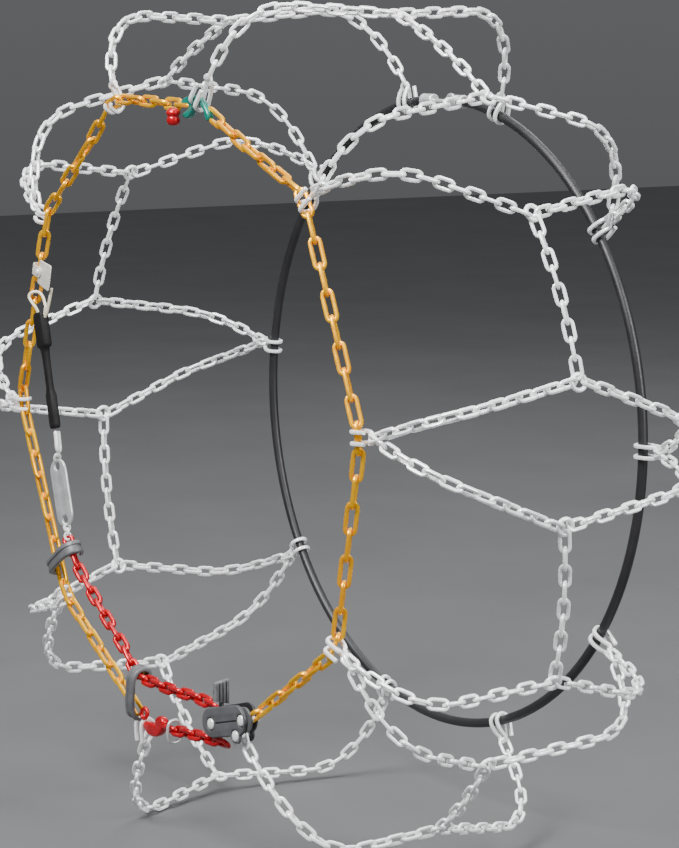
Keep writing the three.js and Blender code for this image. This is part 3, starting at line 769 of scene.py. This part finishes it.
def inset(loop, amount):
    """The loop moved towards its left by amount."""
    p = np.asarray(loop, float)
    back = p - np.roll(p, 1, axis=0)
    ahead = np.roll(p, -1, axis=0) - p
    normals = []
    for edge in (back, ahead):
        edge = edge / np.maximum(norm(edge, axis=1), 1e-9)[:, None]
        normals.append(np.stack([-edge[:, 1], edge[:, 0]], axis=1))
    middle = normals[0] + normals[1]
    middle /= np.maximum(norm(middle, axis=1), 1e-6)[:, None]
    reach = np.maximum((middle * normals[0]).sum(axis=1), 0.5)
    return p + middle * (amount / reach)[:, None]


def slab(build, outline, low, high, edge, matrix, holes=(), steps=3):
    """A flat piece between two depths with round edges. The outline and the holes are loops."""
    loops = [outline if area(outline) > 0 else outline[::-1]]
    loops += [hole if area(hole) < 0 else hole[::-1] for hole in holes]
    arc = [pi / 2 * i / steps for i in range(steps + 1)]
    rings = [(edge * (1 - sin(a)), low + edge * (1 - cos(a))) for a in arc]
    rings += [(edge * (1 - sin(a)), high - edge * (1 - cos(a))) for a in reversed(arc)]
    vertices, faces, starts = [], [], []
    for loop in loops:
        starts.append(len(vertices))
        for amount, depth in rings:
            vertices.extend((x, y, depth) for x, y in inset(loop, amount))
        faces += bands(len(rings), len(loop), starts[-1])
    for ring, flip in ((0, True), (len(rings) - 1, False)):
        shape, index = [], []
        for loop, start in zip(loops, starts):
            at = start + ring * len(loop)
            shape.append([Vector((*vertices[at + k][:2], 0)) for k in range(len(loop))])
            index.extend(range(at, at + len(loop)))
        for tri in tessellate_polygon(shape):
            corners = tuple(index[k] for k in tri)
            faces.append(corners[::-1] if flip else corners)
    return build.add(vertices, faces, matrix)


def turned(build, profile, matrix, sides=28):
    """A turned piece: (radius, depth) from one end on the axis to the other."""
    vertices = [(x, y, h) for r, h in profile for x, y in circle(0, 0, max(r, 1e-4), sides)]
    return build.add(vertices, skin(len(profile), sides), matrix)


def dome(radius, base, rise, steps=5):
    """Profile of a rivet head from its rim at depth base to its top."""
    return [(radius * cos(pi / 2 * i / steps), base + rise * sin(pi / 2 * i / steps))
            for i in range(steps + 1)]


# ---- tension lock ----

LOCK = stand(84.5, -116.5, -193.6, 14.3)
# The covers as (low, high, edge): the front one's face, the base that stands proud of it by a rim, and
# the rear one.
COVER_FACE = (11.5, 13.3, 0.7)
COVER_BASE = (10.9, 11.9, 0.4)
COVER_RIM = 0.45
REAR_COVER = (0, 2, 0.6)
LOCK_LEFT = (-21.3, 1.2, 10.6)
LOCK_RIGHT = (14.5, 0.7, 10.7)
REAR_RIGHT = (13, 1.7, 10.8)
LOCK_LOBE = (10.8, -9.7, 5.6)
RIVETS = [(-20.8, 0.3), (20.8, 0.5), (10.6, -10.1)]
RIVET_R = 2
RIVET_HOLE_R = RIVET_R + 0.4
RIVET_HEAD_R = 4.0
RECESS_R = 4.9
GROOVE_HALF = 14.5


def cover_outline(right, grown=0.0, count=150):
    """Two circles' hull joined to the lobe's circle, both grown, as seen from a point inside the hull."""
    eye = np.array([5.0, -1.0])
    body = [np.array(p) - eye for p in hull_of_circles([(x, y, r + grown) for x, y, r in (LOCK_LEFT, right)])]
    lobe, lobe_r = np.array(LOCK_LOBE[:2]) - eye, LOCK_LOBE[2] + grown
    outline = []
    for i in range(count):
        a = 2 * pi * i / count
        ray = np.array([cos(a), sin(a)])
        reach = 0.0
        for p, q in zip(body, body[1:] + body[:1]):
            edge = q - p
            cross = ray[0] * edge[1] - ray[1] * edge[0]
            if abs(cross) > 1e-9:
                along = (p[0] * edge[1] - p[1] * edge[0]) / cross
                share = (p[0] * ray[1] - p[1] * ray[0]) / cross
                if -1e-6 <= share <= 1 + 1e-6:
                    reach = max(reach, along)
        near = lobe @ ray
        inside = near ** 2 - lobe @ lobe + lobe_r ** 2
        if inside > 0:
            reach = max(reach, near + sqrt(inside))
        outline.append(tuple(eye + ray * reach))
    return outline


def make_lock():
    groove = [(-GROOVE_HALF, -0.1), (GROOVE_HALF, 0.1), (GROOVE_HALF, 1.1), (-GROOVE_HALF, 0.9)]
    cover = Build()
    holes = [circle(x, y, RIVET_HOLE_R) for x, y in RIVETS]
    recesses = [circle(x, y, RECESS_R) for x, y in RIVETS]
    slab(cover, cover_outline(LOCK_RIGHT), *COVER_FACE, LOCK, recesses + [groove])
    slab(cover, cover_outline(LOCK_RIGHT, COVER_RIM), *COVER_BASE, LOCK, holes)
    cover.piece("lock_front_shell", "grey_moulding", nodes=["lock_front_cover"])

    rear = Build()
    slab(rear, cover_outline(REAR_RIGHT), *REAR_COVER, LOCK, holes)
    rear.piece("lock_rear_shell", "black_moulding", nodes=["lock_rear_cover"])

    for i, (x, y) in enumerate(RIVETS):
        rivet = Build()
        at = LOCK @ np.array(Matrix.Translation((x, y, 0)))
        profile = [(0, -1.5), (2.6, -1.4), (3.2, -1.0), (3.2, -0.3), (RIVET_R, -0.2), (RIVET_R, 12.0),
                   (RIVET_HEAD_R, 12.1)] + dome(RIVET_HEAD_R, 12.8, 1.5)
        turned(rivet, profile, at)
        rivet.piece(f"lock_rivet_head_{i + 1}", "rivet_steel", nodes=[f"lock_rivet_{i + 1}"])


LEVER_FROM = 8.4
LEVER_THICKNESS = 2.0
LEVER_HUB_R = 9.2
LEVER_END = (-9, 9.4, 2.4)
TAB_CENTRE = (-4.6, 22.4)
TAB_FRONT = 15.8
TAB_DEPTH = 11.4
RIB_PITCH = 2.8
RIB_WIDTH = 1.8
# The thumb tab seen from +X, as (depth from its front, height): it is taller at the back.
TAB_SIDE = [(0, -6.4), (TAB_DEPTH, -9.4), (TAB_DEPTH, 8.4), (0, 6.6)]


def make_release_lever():
    lever = Build()
    pivot = (*RIVETS[1], LEVER_HUB_R)
    arm = hull_of_circles([pivot, LEVER_END])
    slab(lever, arm, LEVER_FROM, LEVER_FROM + LEVER_THICKNESS, 0.5, LOCK, [circle(*RIVETS[1], RIVET_HOLE_R)])
    neck = hull_of_circles([LEVER_END, (-7, 17, 2)])
    slab(lever, neck, LEVER_FROM + 0.1, LEVER_FROM + LEVER_THICKNESS - 0.1, 0.5, LOCK)
    # Upright ribs stand on the face of the tab that the thumb presses.
    middle = LOCK @ np.array([*TAB_CENTRE, TAB_FRONT, 1.0])
    sideways = matrix_of((0, 1, 0), (0, 0, 1), (1, 0, 0), middle[:3])
    slab(lever, TAB_SIDE, -2.7, 1.6, 0.5, sideways)
    for i in range(4):
        near = 0.5 + i * RIB_PITCH
        far = near + RIB_WIDTH
        low = [np.interp(t, (0, TAB_DEPTH), (-6.2, -9.2)) for t in (near, far)]
        rib = [(near, low[0]), (far, low[1]), (far, 6.6 + 0.16 * near), (near, 6.4 + 0.16 * near)]
        slab(lever, rib, 1.3, 2.8, 0.35, sideways)
    lever.piece("release_lever_tab", "grey_moulding", body="release_lever", nodes=["release_tab"])

    spring = Build()
    turns, per_turn, radius = 5, 12, 1.15
    low, high = (np.array(c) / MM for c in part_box("release_spring"))
    centre = (low + high) / 2
    points = []
    for i in range(turns * per_turn + 1):
        a = 2 * pi * i / per_turn
        z = low[2] + 0.3 + (high[2] - low[2] - 0.6) * i / (turns * per_turn)
        points.append((centre[0] + radius * cos(a), centre[1] + radius * sin(a), z))
    wire(spring, points, 0.28, per_span=1, sides=6)
    spring.piece("release_coil", "fitting_steel", nodes=["release_spring"])


# ---- guide hooks ----

GUIDES = [
    ("guide_hook_upper", -170, -119.5, 34, [(29, 6.6), (32, 1.8), (30, -3.2), (25.5, -4.6)]),
    ("guide_hook_lower", -49.5, -209.5, 84, [(28.4, 6.4), (30.6, 1.8), (28.6, -3.4), (21.5, -4.6)]),
]
GUIDE_PATH = [(-6.6, -4.6), (-8.0, 0.2), (-5.4, 6.8), (3.6, 9.2), (13, 9.2), (23, 9)]
# Half of the strap's section as (depth, width): a raised rib beside a shallow middle channel.
GUIDE_HALF_SECTION = [
    (-1.0, 0.0), (-1.0, 1.3), (-1.8, 1.9), (-1.9, 4.1), (-1.5, 4.9), (-0.6, 5.3), (0.8, 5.3), (1.2, 4.8)]


def make_guide_hooks():
    section = GUIDE_HALF_SECTION + [(d, -w) for d, w in reversed(GUIDE_HALF_SECTION[1:])]
    for name, x, z, deg, crook in GUIDES:
        path = smooth_route([(px, 0, pz) for px, pz in GUIDE_PATH + crook], 5)
        hook = Build()
        vertices, faces = sweep(path, section, (0, 1, 0), caps="cut")
        hook.add(vertices, faces, stand(x, -SIDE_Y, z, deg))
        # The guide hooks take the lighter copy of grey_moulding, whose colour is painted light.
        hook.piece(f"{name}_strap", "lit_grey_moulding", body=name, nodes=[name], slot="grey_moulding")


# ---- closing hook, stud ----

CLOSING = stand(39, -119.5, 240, 0)
CLOSING_THICKNESS = 5
CLOSING_CURVES = [
    (-18, 5.5, -10, 7), (-1, 9.5, 6, 6), (15, 1, 18.2, -5), (19.5, -9.5, 16.3, -9.6), (13.2, -9, 12.4, -4.5),
    (10.5, 0.5, 5.5, 1), (0.5, 1, -3.5, -2.5), (-7, -8.5, -12, -8.8), (-17.5, -8.6, -16.6, -5.2),
    (-13, -3.6, -10.5, -2.6), (-7.6, -0.6, -9.8, 1.2), (-12, 2.4, -14.5, 0.2), (-16.5, -2.6, -19.6, 1),
]
STUD = (22.2, -131.4, 232.8)
STUD_PROFILE = [
    (0.6, -6.45), (3.2, -6.1), (4.7, -3.8), (4.6, -1.2), (4.1, 0.2), (4.9, 1.4), (5, 3.2), (3.2, 5.6),
    (0.6, 6.35)]


def make_closing_hook():
    hook = Build()
    slab(hook, quad_outline((-19.6, 1), CLOSING_CURVES), 0, CLOSING_THICKNESS, 1.3, CLOSING, steps=4)
    hook.piece("closing_hook_casting", "green_paint", body="closing_hook", nodes=["closing_hook"])
    stud = Build()
    profile = [(p[0], p[1]) for p in smooth_route([(r, h, 0) for r, h in STUD_PROFILE], 4)]
    turned(stud, [(0, -6.5)] + profile + [(0, 6.4)], matrix_of(*np.eye(3), STUD), sides=24)
    stud.piece("stud", "red_paint", nodes=["red_stud"])


# ---- tension plate, strap, hook ----

PLATE_CENTRE = (-164, -62.4)
PLATE_DEG = -73.5
PLATE_TURN = -6
PLATE = stand(PLATE_CENTRE[0], TENSION_Y, PLATE_CENTRE[1], PLATE_DEG) @ rotation(PLATE_TURN, "X")
PLATE_LENGTH = 53
PLATE_WIDTH = 20.5
PLATE_HOLE_AT = 21
PLATE_HOLE_R = 3.8
PLATE_RIM_AT = 25.6
STRAP_TOP = np.array([-193.2, TENSION_Y - 1, 75.0])
STRAP_FOOT = np.array([-171.0, TENSION_Y - 1, -13.0])
SMALL_LINK = {"width": 6.0, "wire": 1.8}
# The shackle's free ends as (x, z), and the place in its bend that holds the first small link.
SHACKLE_AT = (-170.5, -16.5)
SHACKLE_BEND = (-168.0, -29.8)
SHACKLE_DEG = -80
SHACKLE_ROLL = 45
SHACKLE_LENGTH = 14.5
SHACKLE_HALF = 3.6
SHACKLE_WIRE_R = 1.6


def make_plate():
    plate = Build()
    end = PLATE_LENGTH / 2 - PLATE_WIDTH / 2
    outline = hull_of_circles([(-end, 0, PLATE_WIDTH / 2), (end, 0, PLATE_WIDTH / 2)])
    slab(plate, outline, -1.0, 1.0, 0.45, PLATE,
         [circle(way * PLATE_HOLE_AT, 0, PLATE_HOLE_R, 24) for way in (-1, 1)])
    plate.piece("tension_plate_blade", "fitting_steel", body="tension_plate", nodes=["tension_plate"])


def shackle(build):
    half, length = SHACKLE_HALF, SHACKLE_LENGTH
    bend = length - half
    side = [(0, half), (bend * 0.5, half), (bend, half), (length - half * 0.29, half * 0.71)]
    points = [(u, -t, 0) for u, t in side] + [(length, 0, 0)] + [(u, t, 0) for u, t in reversed(side)]
    at = stand(SHACKLE_AT[0], TENSION_Y, SHACKLE_AT[1], SHACKLE_DEG) @ rotation(SHACKLE_ROLL, "X")
    wire(build, points, SHACKLE_WIRE_R, at, per_span=4)


def small_links(build, start, end, rolls, seed):
    """Small links in a straight run between two places in the tension chain's plane."""
    a, b = np.array([start[0], TENSION_Y, start[1]]), np.array([end[0], TENSION_Y, end[1]])
    joints = [a + (b - a) * i / len(rolls) for i in range(len(rolls) + 1)]
    lay_joined(build, joints, [(0, -1, 0)] * len(rolls), SMALL_LINK, rolls, seed)


def make_plate_links():
    rim = radial(PLATE_DEG)[[0, 2]] * PLATE_RIM_AT
    upper = Build()
    shackle(upper)
    small_links(upper, SHACKLE_BEND, np.array(PLATE_CENTRE) - rim, (-30, 75), 7)
    upper.piece("strap_shackle", "net_steel", nodes=["plate_link_upper"])
    lower = Build()
    small_links(lower, np.array(PLATE_CENTRE) + rim, TENSION_UPPER[0], (80, -15, 70), 8)
    lower.piece("plate_shackle", "net_steel", nodes=["plate_link_lower"])


def loft(build, stations, matrix, count=20):
    """A bar along X through stations of (x, half width, half thickness, squareness)."""
    vertices = []
    for x, w, t, square in stations:
        power = 2 / square
        for c, s in circle(0, 0, 1, count):
            vertices.append((x, w * copysign(abs(c) ** power, c), t * copysign(abs(s) ** power, s)))
    return build.add(vertices, skin(len(stations), count), matrix)


def make_strap():
    span = float(norm(STRAP_FOOT - STRAP_TOP))
    angle = degrees(atan2(STRAP_FOOT[2] - STRAP_TOP[2], STRAP_FOOT[0] - STRAP_TOP[0]))
    strap = Build()
    knots = [(0, 5.2, 2.8, 5), (0.8, 6.5, 3.5, 6), (2.5, 6.8, 3.8, 6), (25, 6.8, 3.8, 6), (27, 6.2, 3.5, 5),
             (28, 4.6, 2.9, 3.2), (32, 3.6, 2.6, 3.2), (span / 2, 3.2, 2.4, 3.2), (span - 31, 3.4, 2.5, 3.2),
             (span - 27.5, 4.4, 2.8, 3.6), (span - 26, 5.0, 3.1, 4), (span - 3, 5.0, 3.1, 4),
             (span - 0.8, 4.6, 2.8, 4), (span, 3.8, 2.1, 3.6)]
    loft(strap, knots, stand(*STRAP_TOP, angle))
    piece = strap.piece("rubber_strap_moulding", "strap_rubber", body=None, nodes=["rubber_strap"], sharp=60)
    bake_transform(piece)


STRAP_HOOK_WIRE_R = 1.2
# The strap's two wire ends, as (x, y, z).
STRAP_HOOK_WIRES = [
    [(-195.5, -123.5, 73), (-196.8, -124.5, 77.5), (-201, -126.5, 82.5), (-204.3, -127, 87),
     (-202.5, -125, 90), (-199.5, -121, 90), (-196, -119.7, 87), (-190, -121.5, 83.5),
     (-184.5, -123.3, 79.5), (-187, -123.5, 73)],
    [(-185, -123.5, 72.5), (-183, -123.2, 76), (-179.7, -122.4, 86), (-177.3, -122, 94)],
]


def make_strap_hook():
    hook = Build()
    for points in STRAP_HOOK_WIRES:
        wire(hook, points, STRAP_HOOK_WIRE_R)
    hook.piece("strap_wire_hook", "cream_paint", body="strap_hook", nodes=["strap_hook"])


# ---- size tag ----

TAG_CENTRE = (-198.6, 109)
TAG_LEAN = 14
TAG_NECK = 4.35
TAG_END_AT = 9.2
# The strip round the link's wire, from the round end in front to the leaf behind it, as (along, y).
TAG_LOOP = [(4.5, -126.8), (2.4, -126.8), (-0.3, -125.8), (-1.2, -123.8), (-0.3, -121.7), (2.4, -120.8),
            (5.2, -122.4), (8, -125), (11, -125.7)]
TAG_LEAF = [(8.6, -5), (8.6, -8.2), (9.6, -9.2), (25.2, -10.2), (26.5, -8.9), (26.5, 8.9), (25.4, 10.2),
            (9.6, 9.6), (8.6, 8.6), (8.6, 5)]


def make_tag():
    tag = Build()
    at = stand(TAG_CENTRE[0], 0, TAG_CENTRE[1], -TAG_LEAN)
    slab(tag, TAG_LEAF, 125.1, 126.2, 0.3, at)
    end = [(3.5, -TAG_NECK)] + [(TAG_END_AT + TAG_NECK * cos(radians(15 * i - 90)),
                                TAG_NECK * sin(radians(15 * i - 90))) for i in range(13)]
    slab(tag, end + [(3.5, TAG_NECK)], 126.3, 127.3, 0.3, at)
    path = smooth_route([(x, 0, -y) for x, y in TAG_LOOP], 5)
    section = [(y, x) for x, y in square_section(2 * TAG_NECK, 1.0, corner=0.3)]
    tag.add(*sweep(path, section, (0, 1, 0), caps="cut"), at)
    tag.piece("size_tag_leaf", "tag_sheet", body="size_tag", nodes=["size_tag"])
    rivet = Build()
    turned(rivet, [(0, 124.4), (1.2, 124.5), (1.2, 127.2), (2.2, 127.3)] + dome(2.2, 127.6, 1.0),
           at @ np.array(Matrix.Translation((TAG_END_AT, 0, 0))), sides=20)
    rivet.piece("size_tag_rivet", "rivet_steel", body="size_tag", nodes=["tag_rivet"])


# ---- keeper ring, red plate ----

KEEPER_AT = (2, -217.5)
KEEPER_HALF_WIDTH, KEEPER_HALF_HEIGHT = 5.6, 8.5
KEEPER_WIRE_R = 1.15
# Below 1, the power squares the ring's corners.
KEEPER_POWER = 0.75
RED_PLATE_CURVES = [
    (-14, 1.3, -9.5, 1.3), (-3, 1.5, 5.5, 1.1), (1.5, 4, 5, 7), (9, 10, 13, 8.4), (17.5, 6, 15.4, 2.5),
    (13.5, -2, 9.5, -5), (4, -9, -3, -8.6), (-10.5, -8, -14, -2),
]
RED_PLATE = stand(-25.5, TENSION_Y + 3, -218.5, 0)
RED_PLATE_THICKNESS = 6
RED_END = stand(-37.5, TENSION_Y - 2, -211.5, 40)
RED_END_LENGTH, RED_END_WIDTH, RED_END_WIRE = 12.5, 9.5, 3.2


def make_red_end():
    ring = Build()
    points = []
    for c, s in circle(0, 0, 1, 16):
        points.append((KEEPER_AT[0], TENSION_Y + KEEPER_HALF_WIDTH * copysign(abs(c) ** KEEPER_POWER, c),
                       KEEPER_AT[1] + KEEPER_HALF_HEIGHT * copysign(abs(s) ** KEEPER_POWER, s)))
    path = smooth_route(points, 2, closed=True)
    ring.add(*sweep(path, round_section(KEEPER_WIRE_R), (1, 0, 0), closed=True))
    ring.piece("keeper_ring_wire", "fitting_steel", body="keeper_ring", nodes=["keeper_ring"])

    plate = Build()
    slab(plate, quad_outline((-14, -2), RED_PLATE_CURVES), 0, RED_PLATE_THICKNESS, 1.8, RED_PLATE, steps=4)
    plate.piece("red_hook_casting", "red_paint", nodes=["red_hook_plate"])

    link = Build()
    link.add(*link_template(RED_END_LENGTH, RED_END_WIDTH, RED_END_WIRE, False), RED_END)
    link.piece("red_end_link", "red_paint", nodes=["red_link"])


# ---- inner hoop ----

CRIMP_R = HOOP_WIRE_R + 1.5
HOOP_HOOK = [(12, 0), (17, 1.6), (22, 3.8), (30, 5.4), (35.5, 3.4), (36, -2.6), (31, -5.8)]
HOOP_HOOK_WIRE_R = 1.7
HOOP_EYE_AT, HOOP_EYE_R, HOOP_EYE_WIRE_R = 17, 4.8, 1.4


def make_hoop():
    hoop = Build()
    start, turn, steps = 90 + HOOP_GAP / 2, 360 - HOOP_GAP, 144
    points = [around_wheel(start + turn * i / steps, HOOP_R, SIDE_Y) for i in range(steps + 1)]
    hoop.add(*sweep(points, round_section(HOOP_WIRE_R, 14), (0, 1, 0)))
    hoop.piece("inner_hoop_cable", "cable_sleeve", nodes=["inner_hoop_left", "inner_hoop_right"])

    left = around_wheel(90 + HOOP_GAP / 2, HOOP_R, SIDE_Y)
    right = around_wheel(90 - HOOP_GAP / 2, HOOP_R, SIDE_Y)
    for name, origin, deg, length in (("hook", left, 0, 14), ("eye", right, 180, 12)):
        end = Build()
        at = stand(origin[0] + (1 if deg == 0 else -1), SIDE_Y, origin[2], deg)
        along = at @ rotation(90, "Y")
        r = CRIMP_R
        crimps = [(0, 0), (r - 0.6, 0), (r, 0.7)]
        for k in (0.28, 0.5, 0.72):
            crimps += [(r, length * (k - 0.07)), (r - 0.8, length * (k - 0.03)),
                       (r - 0.8, length * (k + 0.03)), (r, length * (k + 0.07))]
        crimps += [(r, length - 0.8), (r - 0.7, length), (0, length)]
        turned(end, crimps, along, sides=24)
        if name == "hook":
            wire(end, [(x, 0, z) for x, z in HOOP_HOOK], HOOP_HOOK_WIRE_R, at)
        else:
            loop = [(x, y, 0) for x, y in circle(HOOP_EYE_AT, 0, HOOP_EYE_R, 24)]
            end.add(*sweep(loop, round_section(HOOP_EYE_WIRE_R), (0, 0, 1), closed=True), at)
        end.piece(f"hoop_{name}_fitting", "fitting_steel", nodes=[f"hoop_{name}_end"])


make_lock()
make_release_lever()
make_guide_hooks()
make_closing_hook()
make_plate()
make_plate_links()
make_strap()
make_strap_hook()
make_tag()
make_red_end()
make_hoop()

for name in ("lock_roller", "lock_roller_pin"):
    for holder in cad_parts[name].material_slots:
        holder.material = MATERIALS["fitting_steel"]


# ---- camera, lights, floor ----

def make_camera():
    az, el = radians(CAMERA_AZIMUTH), radians(CAMERA_ELEVATION)
    back = np.array([sin(az) * cos(el), -cos(az) * cos(el), sin(el)])
    right = unit(np.cross(-back, (0, 0, 1)))
    up = np.cross(right, -back)
    place = back * CAMERA_DISTANCE - right * CAMERA_SIDE - up * CAMERA_RISE
    data = bpy.data.cameras.new("camera")
    data.sensor_fit = "VERTICAL"
    data.sensor_height = CAMERA_SENSOR
    data.lens = CAMERA_LENS
    data.clip_start = 0.05
    data.clip_end = 50
    camera = put("camera", data)
    rows = [[right[i], up[i], back[i], place[i] * MM] for i in range(3)]
    camera.matrix_world = Matrix(rows + [[0, 0, 0, 1]])
    bpy.context.scene.camera = camera


def area_light(name, azimuth, elevation, distance, size, power):
    az, el = radians(azimuth), radians(elevation)
    place = Vector((sin(az) * cos(el), -cos(az) * cos(el), sin(el))) * distance
    data = bpy.data.lights.new(name, "AREA")
    data.shape = "RECTANGLE"
    data.size, data.size_y = size
    data.energy = power
    light = put(name, data)
    light.location = place
    light.rotation_euler = (-place).to_track_quat("-Z", "Y").to_euler()


WORLD_LOW = (0.07, 0.072, 0.078)
WORLD_HIGH = (0.80, 0.81, 0.83)
WORLD_STRENGTH = 0.38
FLOOR_SIZE = 12.0
FLOOR_LIGHT = (0.105, 0.106, 0.108)
FLOOR_DARK = (0.075, 0.077, 0.08)


def make_lights():
    area_light("key", 15, 48, 2.6, (1.2, 1.2), 152)
    area_light("side", 105, 25, 2.6, (0.6, 1.6), 72)
    area_light("top", 60, 85, 2.4, (1.6, 0.8), 40)
    area_light("back", 215, 40, 2.8, (1.4, 1.4), 26)
    world = bpy.data.worlds.new("studio")
    bpy.context.scene.world = world
    world.use_nodes = True
    tree = world.node_tree
    background = tree.nodes["Background"]
    coords = node(tree, "TexCoord", "Generated", {})
    height = ramp(tree, node(tree, "SeparateXYZ", "Z", {"Vector": coords}), -0.35, 0.7, 0.0, 1.0)
    tree.links.new(mix(tree, height, WORLD_LOW, WORLD_HIGH), background.inputs["Color"])
    background.inputs["Strength"].default_value = WORLD_STRENGTH


def make_floor():
    low = min(cad_box[0][2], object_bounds()[0][2])
    half = FLOOR_SIZE / 2
    mesh = bpy.data.meshes.new("floor")
    corners = [(-half, -half, low), (half, -half, low), (half, half, low), (-half, half, low)]
    mesh.from_pydata(corners, [], [(0, 1, 2, 3)])
    floor = put("floor", mesh)
    material, tree, shader = node_tree("floor_paint")
    grain = noise(tree, 180, detail=3.0)
    tree.links.new(mix(tree, grain, FLOOR_DARK, FLOOR_LIGHT), shader.inputs["Base Color"])
    shader.inputs["Roughness"].default_value = 0.8
    mesh.materials.append(material)


make_camera()
make_lights()
make_floor()
